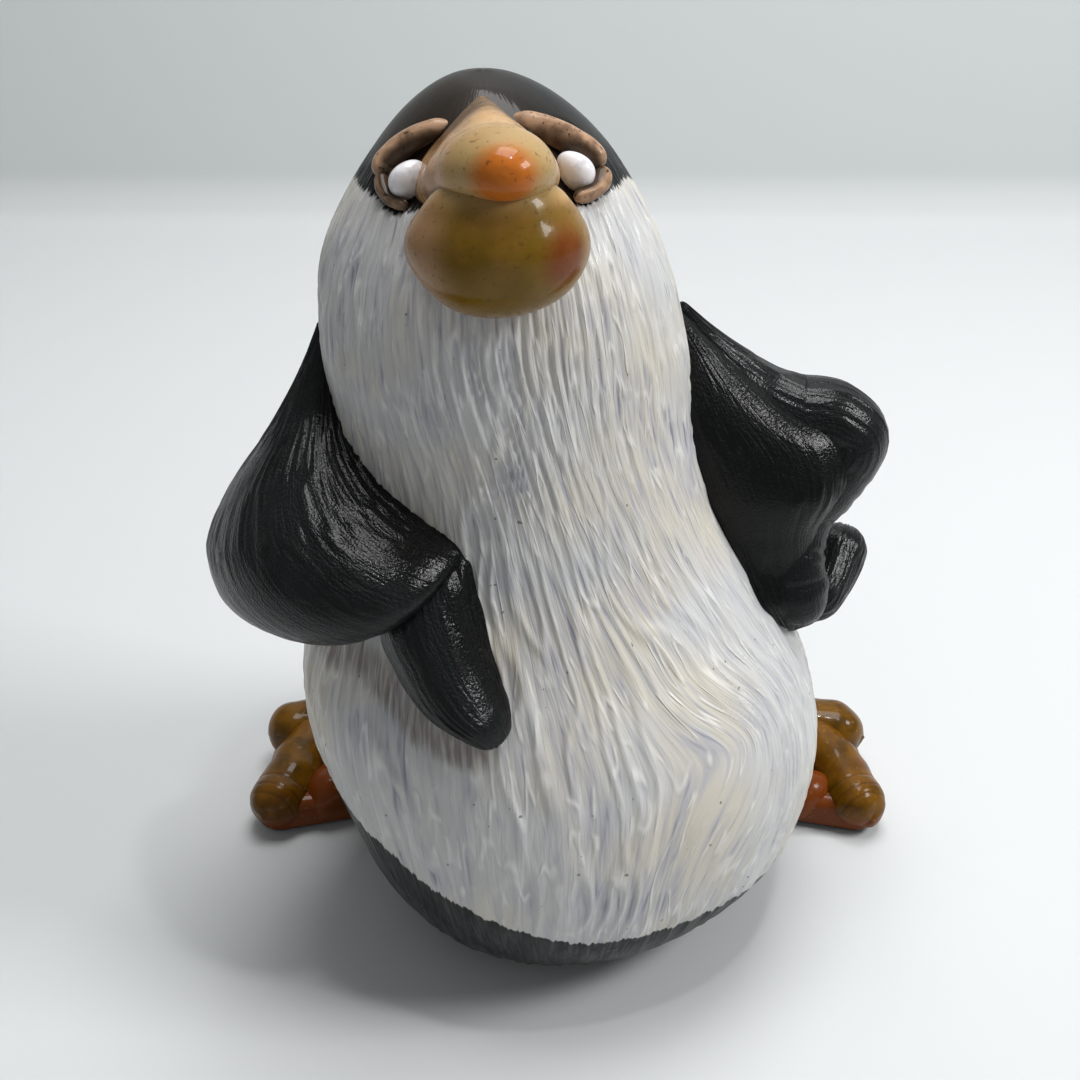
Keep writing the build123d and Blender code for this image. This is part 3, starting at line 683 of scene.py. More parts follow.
# slate and dry brush go only where the slate share is high; the black elsewhere is painted shade
sheen = add_node(wing_paint, "ShaderNodeMath", MULTIPLY, {0: slate, 1: sheen_patch})[0]
worn = add_node(wing_paint, "ShaderNodeMath", MULTIPLY_ADD, {0: groove, 1: -0.35, 2: fine})[0]
for pattern in (worn_patch, slate):
    worn = add_node(wing_paint, "ShaderNodeMath", MULTIPLY, {0: worn, 1: pattern})[0]
colour = brushed(wing_paint, WING_BLACK, WING_SLATE, sheen, 0.25, 0.55, 1.0)
colour = brushed(wing_paint, colour, WING_DRY_BRUSH, worn, 0.17, 0.34, 0.6)
heights = add_node(wing_paint, "ShaderNodeMath", MULTIPLY_ADD, {0: sparkle, 1: 1.2, 2: fine})[0]
finish_paint(wing_paint, shader, colour, heights, depth_mm=0.22, gloss=(0.55, 0.40))
for *form, node in WINGS:
    fit(wing(*form), "slate_paint", wing_paint, node)

# Left arm and flipper tip: the thick bent edge of the left wing, and its end turned back at the hip.
# They are one casting with the wing and have the same paint, with creases pressed across the forearm.
LEFT_ARM_PATH_MM = (
    # points and radius
    (13.2, 6.0, 74.4, 0.6),
    (16.2, 7.0, 69.2, 2.4),
    (19.4, 7.0, 65.2, 3.8),
    (23.2, 6.4, 61.9, 4.8),
    (27.2, 5.4, 60.4, 5.3),
    (31.2, 4.8, 60.2, 5.0),
    (33.0, 4.3, 58.9, 4.7),
    (31.8, 3.8, 56.4, 4.9),
    (29.6, 3.0, 53.4, 4.8),
    (27.8, 2.0, 50.4, 4.3),
    (27.0, 0.2, 47.0, 4.0),
    (27.2, -1.6, 43.6, 4.0),
    (27.9, -2.6, 40.6, 4.2),
    (28.2, -2.6, 38.6, 4.2),
)
LEFT_FLIPPER_PATH_MM = (
    (29.4, -0.6, 37.8, 2.6),
    (31.2, 2.4, 38.8, 3.2),
    (33.2, 5.6, 40.4, 3.5),
    (34.8, 8.6, 42.4, 3.5),
    (35.5, 10.2, 43.4, 3.3),
)
ELBOW_REACH = 26.0 * MM
CREASE_PITCH = 0.9 * MM
CREASE_DEPTH = 0.35 * MM
CREASE_FADE = 6.0 * MM
CREASE_PATCHES = 5
LIMB_RADIUS = 4.0 * MM
LIMB_STROKE_DEPTH = 0.18 * MM
LIMB_RINGS = 200
LIMB_COLUMNS = 144
LIMB_ABOVE = (0, 1, 0)
ROLL_END_SHARE = 0.004


def roll(rows, above, rings, columns):
    """A closed roll along a smooth path of points and radii: circles square to it, with half-ball ends.

    Gives the grid of rings, and the way along and round it with one more column than the grid."""
    path = smooth_through(rows, rings)
    middle, radius = path[:, :3], path[:, 3]
    reach = way_along(middle)
    from_end = np.maximum(np.minimum(reach, reach[-1] - reach), ROLL_END_SHARE * radius)
    girth = np.sqrt(radius**2 - np.maximum(radius - from_end, 0) ** 2)[:, None, None]
    along = unit(np.gradient(middle, axis=0))
    side = unit(np.cross(along, above))[:, None]
    rise = np.cross(side, along[:, None])
    phase = np.linspace(0, math.tau, columns + 1)[None, :, None]
    grid = middle[:, None] + girth * (np.cos(phase) * side + np.sin(phase) * rise)
    along_grid = reach[:, None] + 0 * phase[..., 0]
    return grid[:, :-1], along_grid, phase[..., 0] + 0 * along_grid


def limb(name, path, seed):
    """A combed roll, with noise drawn out round it for the creases past the elbow."""
    grid, along, phase = roll(np.array(path) * MM, LIMB_ABOVE, LIMB_RINGS, LIMB_COLUMNS)
    around = phase * LIMB_RADIUS
    girth = math.tau * LIMB_RADIUS
    relief = combed_round(around, along, girth, WING_STROKE_WIDTH, WING_STROKE_LENGTH, seed)[:, :-1]
    patch = phase * CREASE_PATCHES / math.tau
    creases = soft_noise(patch, along / CREASE_PITCH, seed + 4, CREASE_PATCHES)[:, :-1]
    creased = smooth_step(along[:, :-1], ELBOW_REACH, ELBOW_REACH + CREASE_FADE)
    drawn = (relief - 0.5) * LIMB_STROKE_DEPTH * (1 - creased) + (creases - 0.5) * CREASE_DEPTH * creased
    values = {"groove": 1 - relief - (creases - relief) * creased, "slate": np.ones_like(relief)}
    return skin(name, swelled(grid, drawn), np.stack((around, along), axis=-1) / MM, values)


LIMBS = (("left_wing_arm", LEFT_ARM_PATH_MM, 37), ("left_flipper_tip", LEFT_FLIPPER_PATH_MM, 41))
for form in LIMBS:
    fit(limb(*form), "slate_paint", wing_paint, "left_wing")

# Beak: a ridged upper half and a full pouch under it, each glued on a peg into the face.
# Cast resin, painted tan and olive with an orange tip and thin brown in the creases, and varnished.
BEAK_RINGS = 150
BEAK_COLUMNS = 170
BEAK_DROP = 6.5 * MM
BEAK_RISE = 12.2
UPPER_BEAK_RINGS_MM = (
    # ahead of the face, to the left, up, half width and depth, and tenths that narrow the top
    (-6.2, -0.9, 0.6, 5.6, 6.0, 6.6),
    (-2.0, -0.9, 0.5, 5.8, 5.9, 6.6),
    (2.0, -0.6, 0.6, 5.9, 5.3, 5.4),
    (5.5, -0.3, 0.8, 5.9, 4.5, 3.6),
    (8.5, 0.0, 0.9, 5.7, 3.8, 2.2),
    (11.0, 0.2, 1.0, 5.1, 3.4, 1.2),
    (13.2, 0.5, 0.9, 4.0, 2.8, 0.4),
    (14.9, 0.6, 0.8, 2.6, 2.0, 0.0),
    (15.8, 0.6, 0.7, 1.3, 1.0, 0.0),
    (16.0, 0.6, 0.7, 0.1, 0.1, 0.0),
)
POUCH_DROP = 11.7 * MM
POUCH_STANDOFF = 4.5 * MM
POUCH_RISE = 20.0
POUCH_HALF_SIZES = np.array((8.5, 6.2, 8.0)) * MM
POUCH_PEAR = 0.12
PEAR_TENTHS = 10
POLE_GAP = 0.01
BEAK_FLOW_MM = 5.0
POUCH_FLOW_MM = 7.0
BEAK_LUMP_SIZE = 3.4 * MM
BEAK_LUMP_DEPTH = 0.5 * MM
WRINKLE_PITCH = 1.25 * MM
LIP_DEPTH = 1.3 * MM
LIP_REACH = 2.4 * MM
WRINKLE_DEPTH = 0.12 * MM


def ball_grid(rings, columns, pole_gap):
    """Points of a ball of radius 1 in rings round its third axis, with the angles round and from it."""
    polar = np.linspace(pole_gap, math.pi - pole_gap, rings)[:, None]
    phase = np.linspace(0, math.tau, columns + 1)[None, :]
    ball = (np.sin(polar) * np.cos(phase), np.sin(polar) * np.sin(phase), np.cos(polar) + 0 * phase)
    return np.stack(ball, axis=-1), np.stack(np.broadcast_arrays(phase, polar), axis=-1)


def head_axes(rise):
    """The head's axes to its left, up and ahead, as rows, tipped up by a rise."""
    turn, tip = math.radians(HEAD_TURN), math.radians(rise)
    across = np.array((math.cos(turn), math.sin(turn), 0))
    level = np.array((math.sin(turn), -math.cos(turn), 0))
    ahead = level * math.cos(tip) + np.array((0, 0, math.sin(tip)))
    return np.array((across, np.cross(ahead, across), ahead))


beak_axes = head_axes(BEAK_RISE)
beak_middle = on_body(BODY_HEIGHT - BEAK_DROP, STRAIGHT_AHEAD + HEAD_TURN, 0)
beak_rows = smooth_through(np.array(UPPER_BEAK_RINGS_MM) * MM, BEAK_RINGS)
pouch_axes = head_axes(POUCH_RISE)
pouch_middle = on_body(BODY_HEIGHT - POUCH_DROP, STRAIGHT_AHEAD + HEAD_TURN, POUCH_STANDOFF)


def upper_beak_place(points):
    """Points in the upper beak's axes, and how far they lie off its pear section."""
    place = (points - beak_middle) @ beak_axes.T
    ahead = place[..., 2]
    left, up, width, depth, pear = (np.interp(ahead, beak_rows[:, 0], beak_rows[:, i]) for i in range(1, 6))
    rise = (place[..., 1] - up) / depth
    half = width * (1 - pear / MM / PEAR_TENTHS * np.clip(rise, -1, 1))
    return place, (np.hypot((place[..., 0] - left) / half, rise) - 1) * width


def pouch_place(points):
    """Points in the pouch's axes, and how far they lie off its stretched ball, widened towards the top."""
    place = (points - pouch_middle) @ pouch_axes.T
    shares = place / POUCH_HALF_SIZES
    shares[..., 0] /= 1 + POUCH_PEAR * np.clip(shares[..., 1], -1, 1)
    return place, (norm(shares) - 1) * POUCH_HALF_SIZES[1]


phase = np.linspace(0, math.tau, BEAK_COLUMNS + 1)[None, :]
distance, left, up, width, depth, pear = beak_rows.T[:, :, None]
x = left + width * np.cos(phase) * (1 - pear / MM / PEAR_TENTHS * np.sin(phase))
local = np.stack((x, up + depth * np.sin(phase), distance + 0 * x), axis=-1)
upper_grid = (beak_middle + local @ beak_axes)[:, :-1]
upper_flow = np.stack(np.broadcast_arrays(phase * BEAK_FLOW_MM, distance / MM), axis=-1)
ball, ball_angles = ball_grid(BEAK_RINGS, BEAK_COLUMNS, POLE_GAP)
ball[..., 0] *= 1 + POUCH_PEAR * ball[..., 1]
lower_grid = (pouch_middle + (ball * POUCH_HALF_SIZES) @ pouch_axes)[:, :-1]
lower_flow = ball_angles * POUCH_FLOW_MM

# Each zone is where a form or a colour of the beak starts and ends, and each middle is where it is most.
BEAK_ZONES_MM = {
    "orange": (1.4, 4.2),
    "cream": (4.4, 8.4),
    "lumpy": (3.0, 7.0),
    "past_root": (0.5, 5.5),
    "top": (0.5, 3.0),
    "mouth_corner": (3.0, 5.5),
    "right_flank": (1.5, 5.0),
    "lip": (0.0, 4.0),
    "pouch_side": (3.0, 6.0),
    "pouch_right": (2.5, 7.0),
    "pouch": (0.8, 3.0),
    "olive": (3.2, 8.6),
    "rust": (0.8, 4.2),
    "off_neck": (0.5, 1.1),
    "pouch_joint_shadow_right": (-1.0, 2.0),
}
TIP_MIDDLE = np.array((0.5, 0.5, 15.4)) * MM
RUST_MIDDLE = np.array((5.8, -0.6, 5.2)) * MM
OLIVE_MIDDLE = np.array((0.2, -1.5, 8.0)) * MM
OLIVE_STRETCH = (1, 0.75, 0.6)
MOUTH_MIDDLE = 0.4 * MM
UPPER_CREASE_WIDTH = 0.8 * MM
LOWER_CREASE_WIDTH = 0.7 * MM
LIP_PAINT_WIDTH = 1.6 * MM
LIP_PAINT_SHARE = 0.8
WRINKLE_SLANT = 0.25
WRINKLE_PAINT_SHARE = 0.6
BEAK_LATTICE_SHIFT = 30
UPPER_BEAK_SEED = 51
POUCH_SEED = 61


def past(distance, zone):
    """0 before a zone of the beak and 1 past it."""
    low, high = BEAK_ZONES_MM[zone]
    return smooth_step(distance, low * MM, high * MM)


def beak_lumps(across, along, seed):
    """Soft lumps about their middle height."""
    places = (way / BEAK_LUMP_SIZE + BEAK_LATTICE_SHIFT for way in (across, along))
    return (soft_noise(*places, seed, LATTICE_COLUMNS) - 0.5) * BEAK_LUMP_DEPTH


upper_place, _ = upper_beak_place(upper_grid)
_, off_pouch = pouch_place(upper_grid)
across, up, ahead = np.moveaxis(upper_place, -1, 0)
from_tip = norm(upper_place - TIP_MIDDLE)
root = 1 - past(ahead, "past_root")
on_top = past(up, "top")
wrinkle = 0.5 - 0.5 * np.cos(math.tau * (ahead + WRINKLE_SLANT * across) / WRINKLE_PITCH)
relief = beak_lumps(across, ahead, UPPER_BEAK_SEED) * past(from_tip, "lumpy")
upper_grid = swelled(upper_grid, relief - wrinkle * WRINKLE_DEPTH * root * on_top)
mouth = bell(off_pouch, UPPER_CREASE_WIDTH) * past(np.abs(across - MOUTH_MIDDLE), "mouth_corner")
upper_values = {
    "orange": 1 - past(from_tip, "orange"),
    "cream": 1 - past(from_tip, "cream"),
    "root": root * on_top,
    "crease": mouth + WRINKLE_PAINT_SHARE * wrinkle * root * on_top,
    "pink": past(-across, "right_flank"),
}

lower_place, _ = pouch_place(lower_grid)
_, off_beak = upper_beak_place(lower_grid)
across, up, ahead = np.moveaxis(lower_place, -1, 0)
lip = LIP_DEPTH * bell(off_beak, LIP_REACH) * past(ahead, "lip")
lower_grid = swelled(lower_grid, beak_lumps(across, up, POUCH_SEED) + lip)
neck_x, neck_y, neck_width, neck_depth = body_oval(lower_grid[..., 2])
off_neck = np.hypot((lower_grid[..., 0] - neck_x) / neck_width, (lower_grid[..., 1] - neck_y) / neck_depth)
off_neck = (off_neck - 1) * neck_depth
from_olive = norm((lower_place - OLIVE_MIDDLE) * OLIVE_STRETCH)
lower_values = {
    "cream": LIP_PAINT_SHARE * bell(off_beak, LIP_PAINT_WIDTH),
    "crease": bell(off_beak, LOWER_CREASE_WIDTH) * past(np.abs(across), "pouch_side"),
    "pink": past(-across, "pouch_right"),
    "pouch": past(off_beak, "pouch"),
    "olive": 1 - past(from_olive, "olive"),
    "rust": 1 - past(norm(lower_place - RUST_MIDDLE), "rust"),
    # near-black painted shadow along the joint where the pouch meets the chest, on the figure's right
    "pouch_joint_shadow": (1 - past(off_neck, "off_neck")) * past(-across, "pouch_joint_shadow_right"),
}
upper_beak = skin("beak_upper_half", upper_grid, upper_flow, upper_values)
lower_beak = skin("beak_lower_half", lower_grid, lower_flow, lower_values)

# Acrylic paint blended wet under gloss varnish: tan flanks, cream and orange at the tip, olive and
# rust on the pouch, with fine dark pits from the clay and thin brown left in the creases, and
# near-black painted shadow along the joint where the pouch meets the chest.
beak_paint, shader = new_paint("beak_painted_resin", coat=0.22)
mottle = patch_pattern(beak_paint, size_mm=2.2, detail=3.0, offset=0.0)
cloud = patch_pattern(beak_paint, size_mm=5.0, detail=2.0, offset=0.23)
pits = patch_pattern(beak_paint, size_mm=0.48, detail=1.0, offset=0.11)
colour = brushed(beak_paint, linear("#c29c6a"), linear("#93714a"), mottle, 0.42, 0.68, 0.7)
BEAK_COATS = (
    # attribute, colour, share at which it starts and is full, most
    ("pouch", "#7a5b24", 0.0, 1.0, 0.88),
    ("pink", "#ad856a", 0.0, 1.0, 0.5),
    ("olive", "#6b500c", 0.1, 0.9, 0.90),
    ("rust", "#6e3410", 0.1, 0.9, 0.92),
    ("root", "#583f29", 0.1, 0.9, 0.85),
    ("cream", "#a98e5f", 0.0, 0.9, 0.95),
    ("orange", "#b4611a", 0.0, 0.9, 0.95),
    ("crease", "#4a453f", 0.2, 0.9, 0.75),
    # near-black painted shadow where the pouch meets the chest
    ("pouch_joint_shadow", "#14100c", 0.2, 0.8, 0.95),
)
spread = add_node(beak_paint, "ShaderNodeMath", MULTIPLY_ADD, {0: cloud, 1: 0.5, 2: -0.25})[0]
for coat, paint_colour, low, high, most in BEAK_COATS:
    where = add_node(beak_paint, "ShaderNodeAttribute", {"attribute_name": coat}, {})["Fac"]
    where = add_node(beak_paint, "ShaderNodeMath", {"operation": "ADD"}, {0: where, 1: spread})[0]
    colour = brushed(beak_paint, colour, linear(paint_colour), where, low, high, most)
colour = brushed(beak_paint, colour, linear("#4a3419"), pits, 0.64, 0.74, 0.5)
finish_paint(beak_paint, shader, colour, mottle, depth_mm=0.12, gloss=(0.32, 0.24))
fit(upper_beak, "beak_paint", beak_paint, "upper_beak")
fit(lower_beak, "beak_paint", beak_paint, "lower_beak")

# Eyes: plain white egg-shaped balls set into the sockets, with no pupil painted on.
# Resin, painted white and heavily varnished.
EYE_SINK = 0.2 * MM
EYE_HALF_WIDTH = 1.45 * MM
EYE_HALF_DEPTH = 1.9 * MM
EYE_HALF_HEIGHT = 2.15 * MM
EYE_TILT = 24.0
EYE_NARROWING = 0.16
EYE_RINGS = 64
EYE_COLUMNS = 80
EYE_POLE_GAP = 0.02
EYE_FLOW_MM = 2.0
eye_paint, shader = new_paint("white_painted_eye", coat=0.8)
dabs = patch_pattern(eye_paint, size_mm=1.1, detail=2.0, offset=0.0)
colour = brushed(eye_paint, linear("#eceaec"), linear("#bfbdc8"), dabs, 0.5, 0.72, 0.7)
finish_paint(eye_paint, shader, colour, dabs, depth_mm=0.06, gloss=(0.28, 0.18))
ball, ball_angles = ball_grid(EYE_RINGS, EYE_COLUMNS, EYE_POLE_GAP)
ball[..., :2] *= 1 - EYE_NARROWING * ball[..., 2:]
egg = (ball * (EYE_HALF_WIDTH, EYE_HALF_DEPTH, EYE_HALF_HEIGHT))[:, :-1]
tilt = math.radians(EYE_TILT)
for name, side in (("right", -1), ("left", 1)):
    place, away, brow, outward = eye_place(side, EYE_SINK)
    wide_way = away * math.cos(tilt) + brow * math.sin(tilt)
    long_way = brow * math.cos(tilt) - away * math.sin(tilt)
    grid = place + egg @ np.array((wide_way, outward, long_way))
    eye = skin(f"{name}_eyeball", grid, ball_angles * EYE_FLOW_MM, {})
    fit(eye, "eye_paint", eye_paint, f"{name}_eye")

# Eyelids: rolls of clay laid round each eye, thick above and thin below, cast with the head's skin.
# Painted tan over dark brown, which shows in the pits, and varnished.
RIGHT_UPPER_LID_MM = (
    # points and radius
    (-10.2, -2.8, 96.2, 0.5),
    (-12.0, -2.9, 96.0, 0.95),
    (-14.3, -2.9, 95.1, 1.2),
    (-16.2, -3.1, 93.8, 1.2),
    (-17.4, -3.6, 92.7, 1.15),
    (-17.4, -4.6, 91.7, 0.9),
)
LEFT_UPPER_LID_MM = (
    (-5.2, -2.4, 96.6, 0.5),
    (-3.4, -2.5, 96.5, 1.05),
    (-0.9, -2.3, 95.7, 1.35),
    (1.4, -2.4, 94.5, 1.4),
    (3.2, -2.7, 93.2, 1.35),
    (4.0, -3.4, 92.2, 1.1),
)
RIGHT_LOWER_LID_MM = (
    (-17.5, -4.2, 91.9, 0.75),
    (-17.2, -5.8, 90.9, 0.7),
    (-16.3, -7.1, 90.3, 0.65),
    (-14.8, -8.4, 90.1, 0.5),
)
LEFT_LOWER_LID_MM = (
    (4.1, -2.9, 92.1, 1.0),
    (3.9, -4.5, 91.1, 0.95),
    (2.9, -6.1, 90.7, 0.85),
    (1.4, -7.4, 90.6, 0.6),
)
LIDS = (
    # name, side, path, how dark
    ("right_upper", -1, RIGHT_UPPER_LID_MM, 0.0),
    ("left_upper", 1, LEFT_UPPER_LID_MM, 0.0),
    ("right_lower", -1, RIGHT_LOWER_LID_MM, 0.55),
    ("left_lower", 1, LEFT_LOWER_LID_MM, 0.15),
)
LID_RINGS = 90
LID_COLUMNS = 48
LID_LUMP_SIZE = 1.6 * MM
LID_LUMP_DEPTH = 0.22 * MM
LID_LUMPS_ROUND = 8
LID_LATTICE_COLUMNS = 64
LID_SEED = 71
LID_INNER_SHARES = (0.1, 1.0)
EYE_FRONT = 1.0 * MM
lid_paint, shader = new_paint("lid_painted_resin", coat=0.15)
mottle = patch_pattern(lid_paint, size_mm=1.4, detail=3.0, offset=0.0)
pits = patch_pattern(lid_paint, size_mm=0.5, detail=1.0, offset=0.11)
under_side = add_node(lid_paint, "ShaderNodeAttribute", {"attribute_name": "under_side"}, {})["Fac"]
colour = brushed(lid_paint, linear("#b08e72"), linear("#705845"), mottle, 0.42, 0.66, 0.9)
colour = brushed(lid_paint, colour, linear("#2b2119"), under_side, 0.25, 0.9, 0.9)
colour = brushed(lid_paint, colour, linear("#1d1612"), pits, 0.66, 0.73, 0.85)
finish_paint(lid_paint, shader, colour, mottle, depth_mm=0.10, gloss=(0.36, 0.26))
for name, side, path, shade in LIDS:
    place, _, _, outward = eye_place(side, 0)
    grid, along, phase = roll(np.array(path) * MM, outward, LID_RINGS, LID_COLUMNS)
    round_lid = phase * LID_LUMPS_ROUND / math.tau
    lumps = soft_noise(along / LID_LUMP_SIZE, round_lid, LID_SEED, LID_LATTICE_COLUMNS)[:, :-1]
    grid = swelled(grid, (lumps - 0.5) * LID_LUMP_DEPTH)
    middle = grid.mean(axis=1, keepdims=True)
    inward = unit(place + outward * EYE_FRONT - middle)
    facing = np.sum(unit(grid - middle) * inward, axis=-1)
    values = {"under_side": shade + smooth_step(facing, *LID_INNER_SHARES)}
    lid = skin(f"{name}_lid_roll", grid, np.stack((phase, along / MM), axis=-1), values)
    fit(lid, "lid_paint", lid_paint, f"{name}_eyelid")

# Feet: three fat toes on a flat web each, turned out beside the base and glued on a peg.
# Cast resin, ochre and olive on top and orange at the front, with dark brown run into the drawn lines, and
# near-black painted shadow along the bottom where the feet meet the floor.
FEET_SPAN = 85.5 * MM
FEET_MIDDLE = 1.7 * MM
FOOT_FRONT = 1.0 * MM
FOOT_LENGTH = 23.0 * MM
TOE_HEIGHT = 9.0 * MM
WEB_THICKNESS = 5.0 * MM
WEB_ROUNDING = 3.0 * MM
WEB_INSET = 1.0 * MM
ANKLE_RADIUS = 7.0 * MM
ANKLE_SHARES = (0.36, 0.62)
TOE_SHARES = {
    # root across, along and up, tip across, along and up, root and tip thickness, how orange, and how lined
    "middle": (0.82, 0.68, 0.62, 0.908, 0.19, 0.43, 0.66, 0.84, 0.15, 1.0),
    "outer": (0.48, 0.95, 0.64, 0.880, 0.76, 0.58, 0.76, 0.92, 0.05, 0.0),
    "inner": (0.50, 0.46, 0.62, 0.750, 0.28, 0.36, 0.90, 0.82, 0.80, 0.0),
}
TOE_RADIUS_SHARES = np.array((0.0, 0.55, 0.95, 1.0))[:, None]
TOE_LINES_MM = (2.0, 3.4, 5.2)
TOE_LINE_WIDTH = 0.22 * MM
TOE_LINE_DEPTH = 0.07 * MM
TOE_LUMP_SIZE = 2.6 * MM
TOE_LUMP_DEPTH = 0.7 * MM
TOE_LUMPS_ROUND = 6
TOE_PATH_SHARES = np.array((0, 0.3, 0.7, 1))[:, None]
TOE_RINGS = 120
TOE_COLUMNS = 96
TOE_TOP_SHARES = (-0.6, 0.2)
TOE_FLOW_MM = 4.0
TOE_SEED = 81
LOW_ORANGE_SHARE = 0.7
LOW_ORANGE_MM = (1.5, 4.5)
LINE_PAINT_SHARE = 0.4
TOE_CONTACT_SHADOW_MM = (0.5, 1.6)
WEB_CONTACT_SHADOW_MM = (0.4, 1.3)
WEB_ORANGE_SHARE = 0.9
WEB_COLUMNS = 360
WEB_RINGS = 40
WEB_LEAST_COSINE = 0.05
WEB_LIFT_POWER = 0.8
WEB_ROUND_POWER = 4
WEB_EDGE_SHARE = 0.999
WEB_CAP_SHARES = np.array((0.15, 0.45, 0.75, 0.93))[:, None, None]
WEB_FLOW_MM = (10.0, 0.3)

foot_paint, shader = new_paint("foot_painted_resin", coat=0.25)
mottle = patch_pattern(foot_paint, size_mm=2.4, detail=3.0, offset=0.0)
cloud = patch_pattern(foot_paint, size_mm=6.0, detail=2.0, offset=0.19)
pits = patch_pattern(foot_paint, size_mm=0.6, detail=1.0, offset=0.07)
orange, crease = (
    add_node(foot_paint, "ShaderNodeAttribute", {"attribute_name": name}, {})["Fac"]
    for name in ("orange", "crease")
)
orange = add_node(foot_paint, "ShaderNodeMath", MULTIPLY_ADD, {0: cloud, 1: 0.5, 2: orange})[0]
colour = brushed(foot_paint, linear("#704a0a"), linear("#4c3306"), mottle, 0.40, 0.66, 0.95)
colour = brushed(foot_paint, colour, linear("#6f350b"), orange, 0.35, 1.0, 1.0)
colour = brushed(foot_paint, colour, linear("#9a7548"), pits, 0.68, 0.75, 0.4)
# near-black in the drawn lines, and as painted shadow along the bottom edge
colour = brushed(foot_paint, colour, linear("#20150c"), crease, 0.15, 0.85, 0.95)
finish_paint(foot_paint, shader, colour, mottle, depth_mm=0.15, gloss=(0.40, 0.28))


def on_foot(side, across, along, up):
    """A point of a foot, across from the middle of the pair, back from the front edge and up."""
    x = FEET_MIDDLE + side * across * FEET_SPAN / 2
    return np.array((x, FOOT_FRONT + along * FOOT_LENGTH, up * TOE_HEIGHT))


def above(height, zone_mm):
    """0 under a zone of heights in millimetres and 1 above it."""
    return smooth_step(height, zone_mm[0] * MM, zone_mm[1] * MM)


def toe(name, side, shares, seed):
    """A roll from the ankle to a round tip, with drawn lines across it and soft lumps."""
    root, tip = on_foot(side, *shares[0:3]), on_foot(side, *shares[3:6])
    root_radius, tip_radius = (share * TOE_HEIGHT / 2 for share in shares[6:8])
    heading = unit(tip - root)
    span = tip - root + heading * (root_radius + tip_radius)
    middle = root - heading * root_radius + TOE_PATH_SHARES * span
    radius = root_radius + (tip_radius - root_radius) * TOE_RADIUS_SHARES
    rows = np.concatenate((middle, radius), axis=1)
    grid, along, phase = roll(rows, (0, 0, 1), TOE_RINGS, TOE_COLUMNS)
    from_tip = along[-1:] - along
    lines = sum(bell(from_tip - line * MM, TOE_LINE_WIDTH) for line in TOE_LINES_MM)
    lines = lines[:, :-1] * shares[9]
    round_toe = phase * TOE_LUMPS_ROUND / math.tau
    lumps = soft_noise(round_toe, along / TOE_LUMP_SIZE, seed, TOE_LUMPS_ROUND)[:, :-1]
    upper = smooth_step(np.sin(phase[:, :-1]), *TOE_TOP_SHARES)
    grid = swelled(grid, (lumps - 0.5) * TOE_LUMP_DEPTH - lines * TOE_LINE_DEPTH * upper)
    grid[..., 2] = np.maximum(grid[..., 2], 0)
    values = {
        "orange": shares[8] + LOW_ORANGE_SHARE * (1 - above(grid[..., 2], LOW_ORANGE_MM)),
        # crease holds the drawn lines and a painted shadow along the bottom
        "crease": LINE_PAINT_SHARE * lines * upper + 1 - above(grid[..., 2], TOE_CONTACT_SHADOW_MM),
    }
    return skin(name, grid, np.stack((phase * TOE_FLOW_MM, along / MM), axis=-1), values)


def web(name, side):
    """The rounded hull of the ankle and toe tips: the least of support over cosine in each direction."""
    circles = [(on_foot(side, *ANKLE_SHARES, 0), ANKLE_RADIUS)]
    for shares in TOE_SHARES.values():
        circles.append((on_foot(side, shares[3], shares[4], 0), shares[7] * TOE_HEIGHT / 2 - WEB_INSET))
    middle = sum(centre for centre, _ in circles) / len(circles)
    facing = np.linspace(0, math.tau, WEB_COLUMNS + 1)
    directions = np.stack((np.cos(facing), np.sin(facing), 0 * facing), axis=-1)
    support = np.max([(centre - middle) @ directions.T + radius for centre, radius in circles], axis=0)
    cosine = directions @ directions.T
    reach = support[None] / np.maximum(cosine, WEB_LEAST_COSINE)
    reach = np.min(np.where(cosine > WEB_LEAST_COSINE, reach, 1), axis=1)[None, :, None]
    turn = np.linspace(-1, 1, WEB_RINGS)[:, None, None]
    lift = np.sign(turn) * np.abs(turn) ** WEB_LIFT_POWER
    bulge = np.sqrt(1 - np.minimum(np.abs(lift), WEB_EDGE_SHARE) ** WEB_ROUND_POWER)
    sides = directions[None] * (reach - WEB_ROUNDING * (1 - bulge))
    grid = np.concatenate((sides[:1] * WEB_CAP_SHARES, sides, sides[-1:] * WEB_CAP_SHARES[::-1]))
    flat = np.zeros(len(WEB_CAP_SHARES))
    heights = np.concatenate((flat, WEB_THICKNESS / 2 * (1 + lift[:, 0, 0]), flat + WEB_THICKNESS))
    grid[..., 2] = heights[:, None]
    grid = (grid + middle)[:, :-1]
    # painted shadow along the bottom edge of the web
    crease = 1 - above(grid[..., 2], WEB_CONTACT_SHADOW_MM)
    flow = np.stack(np.meshgrid(facing, np.arange(len(grid))), axis=-1) * WEB_FLOW_MM
    return skin(name, grid, flow, {"orange": np.full(crease.shape, WEB_ORANGE_SHARE), "crease": crease})


for name, side in (("right", -1), ("left", 1)):
    for seed, (toe_name, shares) in enumerate(TOE_SHARES.items()):
        node = f"{name}_{toe_name}_toe"
        piece = toe(f"{node}_roll", side, shares, TOE_SEED + len(TOE_SHARES) * side + seed)
        fit(piece, "foot_paint", foot_paint, node)
    fit(web(f"{name}_web_pad", side), "foot_paint", foot_paint, f"{name}_foot_web")

